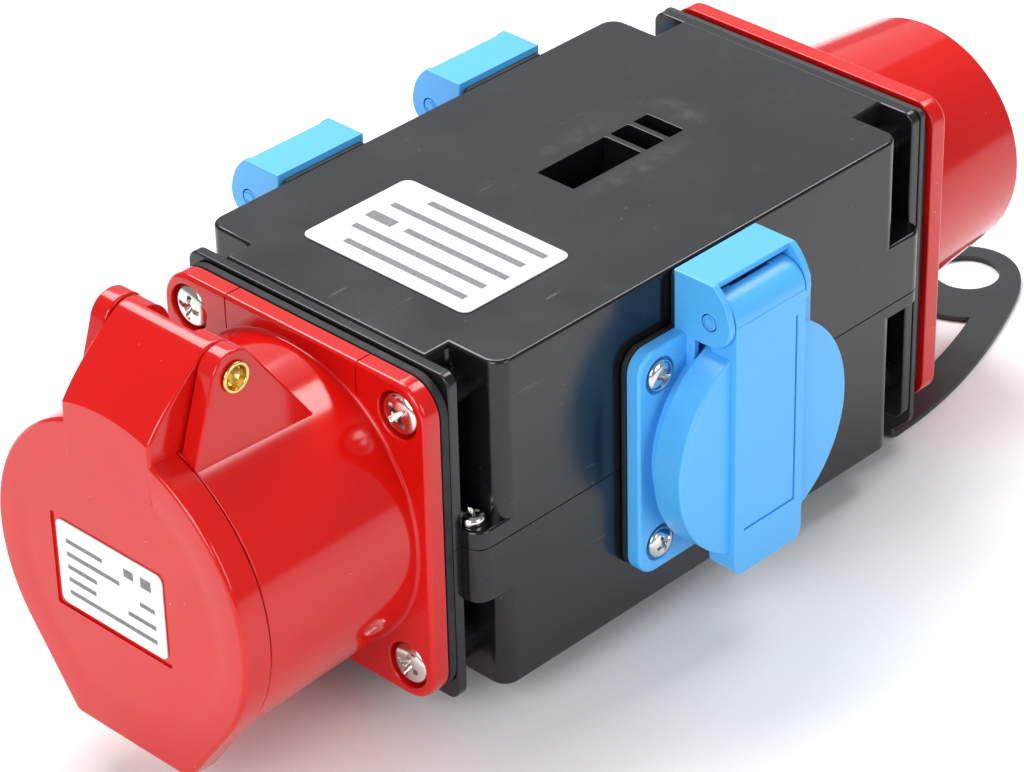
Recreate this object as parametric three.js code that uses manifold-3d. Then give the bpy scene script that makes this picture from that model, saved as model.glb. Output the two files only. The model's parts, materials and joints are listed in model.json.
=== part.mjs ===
// Portable power distribution box: a two-shell enclosure with a five-pole outlet at the front,
// a five-pole inlet at the rear, three two-pole sockets on its sides and a hanging bracket.
// Millimetres. +X is the side with one socket, -Y the outlet end, +Z up.
// The origin is the centre of the enclosure's underside.
import * as THREE from "three";
import { mergeVertices } from "three/addons/utils/BufferGeometryUtils.js";
import Module from "manifold-3d";

const wasm = await Module();
wasm.setup();

// ---- Driving dimensions ----
const GAP = 0.3; // clearance between neighbouring pieces

const BOX = { halfX: 38.9, halfY: 57.4, height: 72.9, corner: 3.6, wall: 2.6, seamZ: 34.7 };
const NECK = { halfX: 26.6, cavityHalfX: 24, wall: 1 };
const RIM = { halfX: 34.8, top: 72.5, thick: 2.5, hole: 24.4 };
// Each end's rim plate starts at `rim`. Its screwed tabs are turned over from one end to the other.
const FRONT = { sign: -1, rim: 63.5, tabBottom: 22.4, tabTop: 38.6, screwY: 60.4 };
const REAR = { sign: 1, rim: 66, tabBottom: 31.4, tabTop: 48.4, screwY: 61.9 };
const ENDS = [FRONT, REAR];
const TAB = { corner: 3.6, screwX: 34.2 };
const LIP = { depth: 4.5, rise: 2.4, thick: 1.2 };
const POCKET = { halfX: 4.85, floorZ: 60.5, wall: 1.8, cells: [[-1, 18.4], [20, 25.2], [26.8, 30.9]] };
const TOP_LABEL = { x: 0.3, y: -34.4, width: 44, length: 28.8, thick: 0.25 };

const CEE = { z: 36.8, flange: 70, corner: 6, pitch: 28, pinCircle: 16.5, poles: 5 };
const GASKET = 1.8;
const PLATE = 1.3; // sheet of the hanging bracket

const OUTLET = {
  flangeBack: -(FRONT.rim + RIM.thick + GASKET + 2 * GAP),
  flangeFront: -72.5,
  front: -110.8,
  rearRadius: 32.2,
  frontRadius: 33.6,
  bore: 27.5,
  floor: -71.8,
  floorBore: 22.8,
};
const LID = {
  back: -111.1,
  step: -116.3,
  face: -117.5,
  radius: 33.8,
  bottomHalf: 15.6,
  bottomZ: 1.0,
  neckHalf: 11.8,
  neckTop: 74,
};
const HINGE = { y: -100.5, z: 81.5, barrel: 5.1, bore: 2.75, earIn: 12.1, earOut: 16.5, earRadius: 5.4 };

const INLET = {
  sheet: REAR.rim + RIM.thick + GAP,
  flangeBack: REAR.rim + RIM.thick + PLATE + GASKET + 3 * GAP,
  flangeFront: 77,
  floorFront: 80,
  end: 114,
  rootRadius: 28.8,
  outer: 26.2,
  bore: 23.6,
};
const HOOK = { z: -8.5, holeY: 132.5, holeR: 7.35, tipY: 144.4, rootHalf: 30, openingY: 74 };

// The side sockets are drawn in their own frame: x = 0 on the enclosure's wall, pointing out,
// z = 0 on the socket's axis.
const SOCKET = {
  z: 36,
  flange: 50,
  corner: 4.5,
  pitch: 19,
  flangeBack: 1.7,
  flangeFront: 4.9,
  shoulder: 6.8,
  ring: 8.6,
  cup: 21.5,
  bore: 19.6,
  depth: 17.5,
  cupBack: -18.7,
};
const FLAP = { radius: 24.2, back: 7.7, face: 14.6, strap: 16, half: 9.9, bottom: -28, lipBack: 9.3 };
const PIVOT = {
  x: 10.5,
  z: 29.5,
  barrel: 5.4,
  cheek: 5.3,
  cheekIn: 10.2,
  cheekOut: 11.7,
  top: 37.7,
  front: 11.5,
};
const SIDE_SOCKETS = [
  { name: "right_socket", side: 1, y: 0, screws: true },
  { name: "left_front_socket", side: -1, y: -25.3, screws: false },
  { name: "left_rear_socket", side: -1, y: 25.3, screws: false },
];

const FINISH = {
  black: { color: 0x1c1c1f, roughness: 0.42, metalness: 0 },
  red: { color: 0xd01a14, roughness: 0.25, metalness: 0 },
  blue: { color: 0x2f9cf0, roughness: 0.4, metalness: 0 },
  rubber: { color: 0x111111, roughness: 0.85, metalness: 0 },
  label: { color: 0xe9ebea, roughness: 0.5, metalness: 0 },
  steel: { color: 0xc9c8c4, roughness: 0.25, metalness: 1 },
  brass: { color: 0xc9a24a, roughness: 0.28, metalness: 1 },
  plate: { color: 0x26272a, roughness: 0.45, metalness: 0.6 },
  insert: { color: 0x2b2c30, roughness: 0.5, metalness: 0 },
  wire: { color: 0x3a3a3d, roughness: 0.7, metalness: 0 },
};

const root = new THREE.Group();

// ---- Geometry helpers ----
const AXES = {
  x: new THREE.Matrix4().makeBasis(
    new THREE.Vector3(0, 1, 0),
    new THREE.Vector3(0, 0, 1),
    new THREE.Vector3(1, 0, 0),
  ),
  y: new THREE.Matrix4().makeBasis(
    new THREE.Vector3(-1, 0, 0),
    new THREE.Vector3(0, 0, 1),
    new THREE.Vector3(0, 1, 0),
  ),
};

function solid(geometry) {
  const flat = geometry.index ? geometry.toNonIndexed() : geometry;
  const bare = new THREE.BufferGeometry().setAttribute("position", flat.getAttribute("position"));
  const merged = mergeVertices(bare, 1e-4);
  return new wasm.Manifold(
    new wasm.Mesh({
      numProp: 3,
      vertProperties: new Float32Array(merged.attributes.position.array),
      triVerts: new Uint32Array(merged.index.array),
    }),
  );
}

const join = (...parts) => parts.reduce((all, part) => all.add(part));
const cut = (body, ...tools) => tools.reduce((left, tool) => left.subtract(tool), body);

function addPart(name, finish, body, group = root) {
  const raw = body.getMesh();
  const geometry = new THREE.BufferGeometry();
  geometry.setAttribute("position", new THREE.BufferAttribute(new Float32Array(raw.vertProperties), 3));
  geometry.setIndex(new THREE.BufferAttribute(new Uint32Array(raw.triVerts), 1));
  const mesh = new THREE.Mesh(geometry, new THREE.MeshStandardMaterial(FINISH[finish]));
  mesh.name = name;
  group.add(mesh);
  return mesh;
}

function box(x0, x1, y0, y1, z0, z1) {
  const geometry = new THREE.BoxGeometry(x1 - x0, y1 - y0, z1 - z0);
  return solid(geometry.translate((x0 + x1) / 2, (y0 + y1) / 2, (z0 + z1) / 2));
}

// A plan outline raised along Z, or a side outline (first axis Y, second Z) swept along X.
const extrude = (shape, depth, segments) =>
  new THREE.ExtrudeGeometry(shape, { depth, bevelEnabled: false, curveSegments: segments });
const slabZ = (shape, z0, z1, segments = 2) =>
  solid(extrude(shape, z1 - z0, segments).translate(0, 0, z0));
const slabX = (shape, x0, x1, segments = 2) =>
  solid(extrude(shape, x1 - x0, segments).applyMatrix4(AXES.x).translate(x0, 0, 0));
// An end outline, symmetric in X unless mirrored by the caller (first axis -X, second Z), along Y.
const slabY = (shape, y0, y1, segments = 2) =>
  solid(extrude(shape, y1 - y0, segments).applyMatrix4(AXES.y).translate(0, y0, 0));

function roundedRect(halfW, halfH, r, cx = 0, cy = 0) {
  const shape = new THREE.Shape();
  shape.moveTo(cx - halfW + r, cy - halfH);
  shape.absarc(cx + halfW - r, cy - halfH + r, r, -Math.PI / 2, 0);
  shape.absarc(cx + halfW - r, cy + halfH - r, r, 0, Math.PI / 2);
  shape.absarc(cx - halfW + r, cy + halfH - r, r, Math.PI / 2, Math.PI);
  shape.absarc(cx - halfW + r, cy - halfH + r, r, Math.PI, 1.5 * Math.PI);
  shape.closePath();
  return shape;
}

// A turned body from [radius, height] points, its axis along x, y or z through (0, 0, 0).
function turned(axis, points, segments = 24) {
  const profile = points.map(([r, h]) => new THREE.Vector2(r, h));
  const geometry = new THREE.LatheGeometry(profile, segments);
  if (axis === "x") geometry.rotateZ(-Math.PI / 2);
  if (axis === "z") geometry.rotateX(Math.PI / 2);
  return solid(geometry);
}

const rod = (axis, r, h0, h1, segments = 24) =>
  turned(axis, [[0, h0], [r, h0], [r, h1], [0, h1]], segments);

const at = (body, x, y, z) => body.translate([x, y, z]);

// A round hole or boss along one axis, through the point (x, y, z) in the other two.
const rodX = (r, x0, x1, y, z, segments) => at(rod("x", r, x0, x1, segments), 0, y, z);
const rodY = (r, y0, y1, x, z, segments) => at(rod("y", r, y0, y1, segments), x, 0, z);
const rodZ = (r, z0, z1, x, y, segments) => at(rod("z", r, z0, z1, segments), x, y, 0);

function tube(points, r, steps, sides = 8) {
  const path = new THREE.CatmullRomCurve3(points.map((p) => new THREE.Vector3(...p)));
  const section = new THREE.Shape();
  section.absarc(0, 0, r, 0, 2 * Math.PI);
  const options = { steps, extrudePath: path, bevelEnabled: false, curveSegments: sides / 2 };
  return solid(new THREE.ExtrudeGeometry(section, options));
}

const corners = [[1, 1], [-1, 1], [-1, -1], [1, -1]];

// The span from a to b, both measured outwards from the middle, at the front or the rear end.
const outwards = (end, a, b) => (end.sign > 0 ? [a, b] : [-b, -a]);

// ---- Enclosure ----
function tabShape(sx, { sign: sy, rim }) {
  const x1 = BOX.halfX;
  const y0 = BOX.halfY - BOX.corner - 0.2;
  const y1 = rim + 0.1;
  const shape = new THREE.Shape();
  shape.moveTo(NECK.halfX - 1, y0);
  shape.lineTo(x1, y0);
  shape.absarc(x1 - TAB.corner, y1 - TAB.corner, TAB.corner, 0, Math.PI / 2);
  shape.lineTo(NECK.halfX - 1, y1);
  shape.closePath();
  const points = shape.getPoints(2).map((p) => new THREE.Vector2(sx * p.x, sy * p.y));
  return new THREE.Shape(sx * sy > 0 ? points : points.reverse());
}

function enclosureOuter() {
  let body = slabZ(roundedRect(BOX.halfX, BOX.halfY, BOX.corner), 0, BOX.height);
  body = body.add(box(-NECK.halfX, NECK.halfX, -FRONT.rim - 0.1, REAR.rim + 0.1, 0, BOX.height));
  const plate = roundedRect(RIM.halfX, RIM.top / 2, 2, 0, RIM.top / 2);
  for (const end of ENDS) {
    body = body.add(slabY(plate, ...outwards(end, end.rim, end.rim + RIM.thick), 1));
    const [b0, b1] = outwards(end, BOX.halfY - 1, end.rim + 0.1);
    for (const [sx, sz] of corners) {
      body = body.add(rodY(3.6, b0, b1, sx * CEE.pitch, CEE.z + sz * CEE.pitch, 10));
    }
    for (const sx of [1, -1]) body = body.add(slabZ(tabShape(sx, end), end.tabBottom, end.tabTop));
  }
  return body;
}

function enclosureCavity() {
  const w = BOX.wall;
  const plan = roundedRect(BOX.halfX - w, BOX.halfY - w, BOX.corner - w + 0.6);
  const [y0, y1] = [-FRONT.rim + NECK.wall, REAR.rim - NECK.wall];
  const neck = box(-NECK.cavityHalfX, NECK.cavityHalfX, y0, y1, w, BOX.height - w);
  return slabZ(plan, w, BOX.height - w).add(neck);
}

function socketBosses() {
  const bosses = [];
  for (const socket of SIDE_SOCKETS) {
    for (const [sy, sz] of corners) {
      const x = [BOX.halfX - BOX.wall - 8, BOX.halfX - 1];
      const [x0, x1] = socket.side > 0 ? x : [-x[1], -x[0]];
      bosses.push(rodX(3.2, x0, x1, socket.y + sy * SOCKET.pitch, SOCKET.z + sz * SOCKET.pitch, 6));
    }
  }
  return join(...bosses);
}

function enclosureCuts() {
  const cuts = [];
  for (const end of ENDS) {
    const face = end.rim + RIM.thick + 1;
    cuts.push(rodY(RIM.hole, ...outwards(end, end.rim - 2, face), 0, CEE.z, 24));
    const [s0, s1] = outwards(end, BOX.halfY - 3.2, face);
    for (const [sx, sz] of corners) {
      cuts.push(rodY(2.2, s0, s1, sx * CEE.pitch, CEE.z + sz * CEE.pitch, 6));
    }
    const [low, high] = end === FRONT ? [2, 1] : [-1, -2];
    for (const sx of [1, -1]) {
      const [x, y] = [sx * TAB.screwX, end.sign * end.screwY];
      cuts.push(rodZ(1.7, end.tabBottom + low, end.tabTop + high, x, y, 8));
    }
  }
  for (const socket of SIDE_SOCKETS) {
    const x = [BOX.halfX - BOX.wall - 9, BOX.halfX + 1];
    const [x0, x1] = socket.side > 0 ? x : [-x[1], -x[0]];
    cuts.push(rodX(SOCKET.cup + 0.9, x0, x1, socket.y, SOCKET.z, 24));
    for (const [sy, sz] of corners) {
      const [y, z] = [socket.y + sy * SOCKET.pitch, SOCKET.z + sz * SOCKET.pitch];
      cuts.push(rodX(1.75, x0, x1, y, z, 6));
    }
  }
  return join(...cuts);
}

function topPocket() {
  const { halfX, floorZ, wall, cells } = POCKET;
  const [y0, y1] = [cells[0][0] - wall, cells[cells.length - 1][1] + wall];
  const well = box(-halfX - wall, halfX + wall, y0, y1, floorZ - wall, BOX.height - 1);
  const cuts = cells.map(([a, b]) => box(-halfX, halfX, a, b, floorZ, BOX.height + 1));
  return { well, cuts: join(...cuts) };
}

// The lower shell's lip stands inside the upper shell's wall, so the seam can't be seen through.
function seamLip() {
  const w = BOX.wall;
  const ring = (outset, inset, z0, z1) => {
    const outer = roundedRect(BOX.halfX - w + outset, BOX.halfY - w + outset, 2.5);
    const inner = roundedRect(BOX.halfX - w - inset, BOX.halfY - w - inset, 2.5);
    return slabZ(outer, z0, z1).subtract(slabZ(inner, z0 - 1, z1 + 1));
  };
  const seam = BOX.seamZ - GAP;
  const low = ring(0.5, LIP.thick, seam - LIP.depth, seam);
  const high = ring(-GAP, LIP.thick, seam - 1, seam + LIP.rise);
  const doorway = box(-NECK.cavityHalfX - 1, NECK.cavityHalfX + 1, -70, 70, 0, BOX.height);
  return low.add(high).subtract(doorway);
}

function shells() {
  const { well, cuts } = topPocket();
  const hollow = enclosureOuter().subtract(enclosureCavity()).add(socketBosses());
  const holes = enclosureCuts();
  const above = box(-100, 100, -100, 100, BOX.seamZ, 100);
  const below = box(-100, 100, -100, 100, -10, BOX.seamZ - GAP);
  const upper = cut(hollow.intersect(above).add(well), cuts, holes);
  const lower = cut(hollow.intersect(below).add(seamLip()), holes);
  addPart("upper_shell", "black", upper);
  addPart("lower_shell", "black", lower);
}

function topLabel() {
  const { x, y, width, length, thick } = TOP_LABEL;
  const z = BOX.height + 0.1;
  addPart("rating_label", "label", slabZ(roundedRect(width / 2, length / 2, 2, x, y), z, z + thick));
}

// A pan-head screw along +Z: its head's seat is at z = 0, the head above and the shank below.
function panScrew(headR, headH, shankR, length) {
  const profile = [
    [0, -length],
    [shankR, -length + shankR],
    [shankR, 0],
    [headR, 0],
    [headR, headH * 0.45],
    [headR * 0.7, headH],
    [0, headH],
  ];
  const half = headR * 0.55;
  const slot = 0.16 * headR;
  const depth = headH * 0.5;
  const cross = join(
    box(-half, half, -slot, slot, headH - depth, headH + 1),
    box(-slot, slot, -half, half, headH - depth, headH + 1),
  );
  return turned("z", profile, 8).subtract(cross);
}

// The front pair is driven down into the lower shell, the rear pair up into the upper shell.
function caseScrews() {
  corners.forEach(([sx, sy], i) => {
    const screw = addPart(`case_screw_${i + 1}`, "steel", panScrew(2.6, 2, 1.4, 13));
    const end = sy > 0 ? REAR : FRONT;
    const z = sy > 0 ? end.tabBottom - 0.1 : end.tabTop + 0.1;
    screw.rotation.x = sy > 0 ? Math.PI : 0;
    screw.position.set(sx * TAB.screwX, sy * end.screwY, z);
  });
}

// ---- Hanging bracket ----
function hookOutline() {
  const { rootHalf, tipY, holeY, holeR, openingY } = HOOK;
  const y0 = INLET.sheet;
  const shape = new THREE.Shape();
  shape.moveTo(-rootHalf, y0);
  shape.lineTo(rootHalf, y0);
  shape.bezierCurveTo(29.9, 88, 25.5, 107, 15.9, 129.5);
  shape.bezierCurveTo(13.1, 136, 8, tipY, 0, tipY);
  shape.bezierCurveTo(-8, tipY, -13.1, 136, -15.9, 129.5);
  shape.bezierCurveTo(-25.5, 107, -29.9, 88, -rootHalf, y0);
  const hole = new THREE.Path();
  hole.absarc(0, holeY, holeR, 0, 2 * Math.PI, true);
  const opening = new THREE.Path();
  const far = 12.6;
  const spread = Math.asin(far / 19.5);
  opening.moveTo(21, openingY);
  opening.lineTo(-21, openingY);
  opening.bezierCurveTo(-20.8, 90, -17, 106, -far, holeY - Math.cos(spread) * 19.5);
  opening.absarc(0, holeY, 19.5, -Math.PI / 2 - spread, -Math.PI / 2 + spread, false);
  opening.bezierCurveTo(17, 106, 20.8, 90, 21, openingY);
  shape.holes.push(hole, opening);
  return shape;
}

function hangingBracket() {
  const y0 = INLET.sheet;
  const top = 72.2;
  const upright = new THREE.Shape();
  upright.moveTo(-HOOK.rootHalf, HOOK.z);
  upright.lineTo(HOOK.rootHalf, HOOK.z);
  upright.absarc(RIM.halfX - 4, HOOK.z + 6, 4, -Math.PI / 2, 0);
  upright.lineTo(RIM.halfX, top);
  upright.lineTo(-RIM.halfX, top);
  upright.absarc(-RIM.halfX + 4, HOOK.z + 6, 4, Math.PI, 1.5 * Math.PI);
  upright.closePath();
  const hole = rodY(RIM.hole, y0 - 1, y0 + PLATE + 1, 0, CEE.z, 24);
  const screws = corners.map(([sx, sz]) =>
    rodY(2.3, y0 - 1, y0 + PLATE + 1, sx * CEE.pitch, CEE.z + sz * CEE.pitch, 6),
  );
  const leg = slabZ(hookOutline(), HOOK.z, HOOK.z + PLATE, 6);
  addPart("hanging_bracket", "plate", cut(slabY(upright, y0, y0 + PLATE).add(leg), hole, ...screws));
}

// ---- Five-pole end fittings ----
function flangePlate(y0, y1) {
  const half = CEE.flange / 2;
  return slabY(roundedRect(half, half, CEE.corner, 0, CEE.z), y0, y1);
}

// Screw holes through a flange, with a round counterbore on the face at `face`.
function flangeHoles(back, face) {
  const out = Math.sign(face - back);
  const span = (a, b) => [Math.min(a, b), Math.max(a, b)];
  const [h0, h1] = span(back - out, face + out);
  const [c0, c1] = span(face - 2.4 * out, face + out);
  const holes = corners.map(([sx, sz]) => {
    const [x, z] = [sx * CEE.pitch, CEE.z + sz * CEE.pitch];
    return rodY(2.3, h0, h1, x, z, 6).add(rodY(4.9, c0, c1, x, z, 12));
  });
  return join(...holes);
}

function flangeGasket(name, y0) {
  const hole = rodY(RIM.hole, y0 - 1, y0 + GASKET + 1, 0, CEE.z, 24);
  const screws = corners.map(([sx, sz]) =>
    rodY(2.3, y0 - 1, y0 + GASKET + 1, sx * CEE.pitch, CEE.z + sz * CEE.pitch, 6),
  );
  addPart(name, "rubber", cut(flangePlate(y0, y0 + GASKET), hole, ...screws));
}

function flangeScrews(name, seatY, out) {
  corners.forEach(([sx, sz], i) => {
    const screw = addPart(`${name}_${i + 1}`, "steel", panScrew(4.1, 2.5, 1.9, 14));
    screw.rotation.x = out > 0 ? -Math.PI / 2 : Math.PI / 2;
    screw.position.set(sx * CEE.pitch, seatY, CEE.z + sz * CEE.pitch);
  });
}

// The poles stand evenly on the pin circle, with earth (pole 1) at the bottom.
const poles = Array.from({ length: CEE.poles }, (_, i) => {
  const angle = -Math.PI / 2 + (i * 2 * Math.PI) / CEE.poles;
  const [x, z] = [Math.cos(angle) * CEE.pinCircle, CEE.z + Math.sin(angle) * CEE.pinCircle];
  return { name: i + 1, x, z, pinR: i === 0 ? 3 : 2.5 };
});

function outletEars() {
  const { y, z, earRadius, earIn, earOut, bore } = HINGE;
  const base = { front: OUTLET.front, rear: -78.4, z: 61 };
  const shape = new THREE.Shape();
  shape.moveTo(base.rear, base.z);
  shape.absarc(y, z, earRadius, 0.26 * Math.PI, 0.93 * Math.PI);
  shape.lineTo(base.front, 66.8);
  shape.lineTo(base.front, base.z);
  shape.closePath();
  const hole = rodX(bore, -earOut - 1, earOut + 1, y, z, 12);
  const ear = slabX(shape, earIn, earOut);
  return join(ear, ear.mirror([1, 0, 0])).subtract(hole);
}

function outletHousing() {
  const { flangeBack, flangeFront, front, rearRadius, frontRadius, bore, floor, floorBore } = OUTLET;
  const barrel = [
    [0, front],
    [frontRadius, front],
    [rearRadius, flangeFront - 2],
    [rearRadius + 1.6, flangeFront + 0.5],
    [0, flangeFront + 0.5],
  ];
  const body = join(
    flangePlate(flangeFront, flangeBack),
    at(turned("y", barrel, 32), 0, 0, CEE.z),
    outletEars(),
  );
  const keyway = box(-4.3, 4.3, front - 1, -76, CEE.z - bore - 2.4, CEE.z - bore + 2);
  const whole = cut(
    body,
    rodY(bore, front - 1, floor, 0, CEE.z, 32),
    rodY(floorBore + 0.2, front, flangeBack + 1, 0, CEE.z, 28),
    keyway,
    flangeHoles(flangeBack, flangeFront),
  );
  addPart("outlet_housing", "red", whole);
}

// The lid's face: round, with straight sides that run together to a narrow lifting edge.
function lidOutline(inset) {
  const r = LID.radius - inset;
  const foot = new THREE.Vector2(LID.bottomHalf - inset * 0.5, LID.bottomZ + inset - CEE.z);
  const lean = Math.atan2(foot.y, foot.x) + Math.acos(r / foot.length());
  const corner = 2;
  const shape = new THREE.Shape();
  shape.moveTo(-foot.x + corner, CEE.z + foot.y);
  shape.lineTo(foot.x - corner, CEE.z + foot.y);
  shape.quadraticCurveTo(foot.x, CEE.z + foot.y, foot.x + 0.8, CEE.z + foot.y + corner);
  shape.absarc(0, CEE.z, r, lean, Math.PI - lean);
  shape.lineTo(-foot.x - 0.8, CEE.z + foot.y + corner);
  shape.quadraticCurveTo(-foot.x, CEE.z + foot.y, -foot.x + corner, CEE.z + foot.y);
  return shape;
}

// The arm from the lid's face up to its hinge barrel. Its foot reaches back over the outlet's barrel.
function lidNeck() {
  const { y, z, barrel } = HINGE;
  const [foot, clear] = [-107, OUTLET.frontRadius + 0.4];
  const shape = new THREE.Shape();
  shape.moveTo(foot, 62);
  shape.lineTo(foot, 72);
  shape.lineTo(-104.6, 76.4);
  shape.lineTo(y, z - barrel);
  shape.absarc(y, z, barrel, -Math.PI / 2, 0.72 * Math.PI);
  shape.quadraticCurveTo(-112.4, 79.6, LID.face, LID.neckTop);
  shape.lineTo(LID.face, 62);
  shape.closePath();
  const arm = slabX(shape, -LID.neckHalf, LID.neckHalf);
  return arm.subtract(rodY(clear, LID.back, foot + 1, 0, CEE.z, 48));
}

const OUTLET_LABEL = { x: -2.5, z: 35.4, halfW: 14.6, halfH: 9.3, recess: 0.65 };

function outletLid() {
  const { y, z, bore } = HINGE;
  const { x: lx, z: lz, halfW, halfH, recess } = OUTLET_LABEL;
  const shell = join(
    slabY(lidOutline(0), LID.step, LID.back, 12),
    slabY(lidOutline(1.1), LID.face, LID.step + 0.1, 12),
    lidNeck(),
  );
  const spring = join(
    rodX(4.1, -6.3, 6.3, y, z, 14),
    box(-6.3, 6.3, y, y + 8, z - 7, z + 7),
  );
  const labelSeat = roundedRect(halfW + 1.2, halfH + 1.1, 0.6, -lx, lz);
  const whole = cut(
    shell,
    rodY(31.4, -115.2, LID.back + 1, 0, CEE.z, 28),
    rodX(bore, -20, 20, y, z, 12),
    spring,
    slabY(labelSeat, LID.face - 1, LID.face + recess, 1),
  );
  addPart("outlet_lid", "red", whole);
  const label = roundedRect(halfW, halfH, 1.6, -lx, lz);
  const back = LID.face + recess - 0.1;
  addPart("outlet_label", "label", slabY(label, back - 0.25, back));
}

function outletLidSeal() {
  const ring = [[27.9, -114.9], [31, -114.9], [31, -113], [30, LID.back - 0.1], [27.9, -113]];
  addPart("outlet_lid_seal", "rubber", at(turned("y", [...ring, ring[0]], 28), 0, 0, CEE.z));
}

function outletHingePin() {
  const { y, z, earOut } = HINGE;
  const [inner, outer, rolled] = [1.9, 2.5, 3.1];
  const end = earOut + 0.8;
  const profile = [
    [inner, -end],
    [rolled, -end],
    [rolled, -earOut - 0.2],
    [outer, -earOut - 0.2],
    [outer, earOut + 0.2],
    [rolled, earOut + 0.2],
    [rolled, end],
    [inner, end],
    [inner, -end],
  ];
  addPart("outlet_hinge_pin", "brass", at(turned("x", profile, 12), 0, y, z));
}

// A closing spring coiled about an axis along X through (0, 0, 0), with one leg that runs off
// along +Y from the coil's underside to `leg`.
function coilSpring(coilR, wireR, halfLength, turns, leg) {
  const points = [];
  const steps = turns * 6;
  for (let i = 0; i <= steps; i++) {
    const a = -Math.PI / 2 - (i / steps) * turns * 2 * Math.PI;
    const x = halfLength - (2 * halfLength * i) / steps;
    points.push([x, Math.cos(a) * coilR, Math.sin(a) * coilR]);
  }
  points.unshift([halfLength, leg[0] * 0.35, -coilR]);
  points.unshift([halfLength, leg[0], leg[1]]);
  return tube(points, wireR, turns * 6 + 3, 4);
}

function outletLidSpring() {
  const { y, z } = HINGE;
  addPart("outlet_lid_spring", "steel", at(coilSpring(3.35, 0.36, 5, 4, [10.5, -8.8]), 0, y, z));
}

const CARRIER = { r: 22.5, front: -106.5, skin: -104.8, back: -59.7, contactR: 3.4 };

function outletContacts() {
  const { r, front, skin, back, contactR } = CARRIER;
  const [collar, wide] = [OUTLET.flangeBack + GAP, 23.6];
  const stepped = [[r, collar], [wide, collar], [wide, collar + 3], [r, collar + 3]];
  const profile = [[0, front], [r, front], ...stepped, [r, back], [0, back]];
  const bores = poles.flatMap((p) => [
    rodY(contactR + GAP, skin, back + 1, p.x, p.z, 8),
    rodY(p.pinR + 0.5, front - 1, skin + 0.5, p.x, p.z, 8),
  ]);
  addPart("outlet_contact_carrier", "insert", cut(at(turned("y", profile, 24), 0, 0, CEE.z), ...bores));
  for (const p of poles) {
    const sleeve = cut(
      rodY(contactR, skin + GAP, back + 4, p.x, p.z, 8),
      rodY(p.pinR + 0.15, skin, back - 12, p.x, p.z, 8),
      box(p.x - 0.4, p.x + 0.4, skin, skin + 16, p.z - 4, p.z + 4),
    );
    addPart(`outlet_contact_${p.name}`, "brass", sleeve);
  }
}

function inletHousing() {
  const { flangeBack, flangeFront, floorFront, end, rootRadius, outer, bore } = INLET;
  const [wide, long, steps] = [32.6, 8, 3];
  const flare = [[0, flangeFront - 0.5], [wide, flangeFront - 0.5]];
  for (let i = 1; i <= steps; i++) {
    const a = (i / steps) * (Math.PI / 2);
    const r = rootRadius + (wide - rootRadius) * (1 - Math.sin(a));
    flare.push([r, flangeFront + long * (1 - Math.cos(a))]);
  }
  const profile = [...flare, [outer, end - 0.8], [outer - 0.8, end], [0, end]];
  const key = box(-4, 4, flangeFront, end - 0.8, CEE.z - outer - 2.1, CEE.z - outer + 1);
  const barrel = at(turned("y", profile, 28), 0, 0, CEE.z);
  const body = join(flangePlate(flangeBack, flangeFront), barrel, key);
  const whole = cut(
    body,
    rodY(23.1, flangeBack - 1, flangeFront + 0.1, 0, CEE.z, 24),
    rodY(21.1, flangeFront, floorFront + 1, 0, CEE.z, 24),
    rodY(bore, floorFront, end + 1, 0, CEE.z, 24),
    flangeHoles(flangeBack, flangeFront),
  );
  addPart("inlet_housing", "red", whole);
}

function inletPins() {
  const { flangeFront, floorFront, end } = INLET;
  const [back, shoulder, face] = [59.7, flangeFront - 0.2, floorFront + 1];
  const profile = [[0, back], [22.6, back], [22.6, shoulder], [20.6, shoulder], [20.6, face], [0, face]];
  const bores = poles.map((p) => rodY(p.pinR + GAP, back - 1, face + 1, p.x, p.z, 8));
  addPart("inlet_pin_carrier", "insert", cut(at(turned("y", profile, 24), 0, 0, CEE.z), ...bores));
  for (const p of poles) {
    const r = p.pinR;
    const tip = end - 6;
    const pin = [
      [0, back - 5],
      [r + 1, back - 5],
      [r + 1, back - GAP],
      [r, back - GAP],
      [r, tip - 1.6],
      [r - 1.1, tip],
      [0, tip],
    ];
    addPart(`inlet_pin_${p.name}`, "brass", at(turned("y", pin, 8), p.x, 0, p.z));
  }
}

// ---- Side sockets ----
function socketGasket(name, group) {
  const half = SOCKET.flange / 2;
  const [x0, x1] = [GAP, SOCKET.flangeBack - GAP];
  const screws = corners.map(([sy, sz]) =>
    rodX(1.9, x0 - 1, x1 + 1, sy * SOCKET.pitch, sz * SOCKET.pitch, 6),
  );
  const whole = cut(
    slabX(roundedRect(half, half, SOCKET.corner), x0, x1, 1).add(box(x0, x1, -11, 11, 20, 36.5)),
    rodX(SOCKET.cup + 0.6, x0 - 1, x1 + 1, 0, 0, 20),
    ...screws,
  );
  addPart(`${name}_gasket`, "rubber", whole, group);
}

// One cheek of the hinge bay, seen from the side.
function cheekShape() {
  const { x, z, cheek, top, front } = PIVOT;
  const shape = new THREE.Shape();
  shape.moveTo(SOCKET.flangeBack, 14);
  shape.lineTo(SOCKET.shoulder, 14);
  shape.lineTo(SOCKET.shoulder, z - cheek);
  shape.absarc(x, z, cheek, -Math.PI / 2, 0.1 * Math.PI);
  shape.quadraticCurveTo(x + cheek - 0.9, z + 5.4, front, top);
  shape.lineTo(SOCKET.flangeBack, top);
  shape.closePath();
  return shape;
}

// A side outline (first axis X, second Z) swept along Y from y0 to y1.
function slabSide(shape, y0, y1, segments = 2) {
  const geometry = extrude(shape, y1 - y0, segments).rotateX(Math.PI / 2);
  return solid(geometry.translate(0, y1, 0));
}

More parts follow.
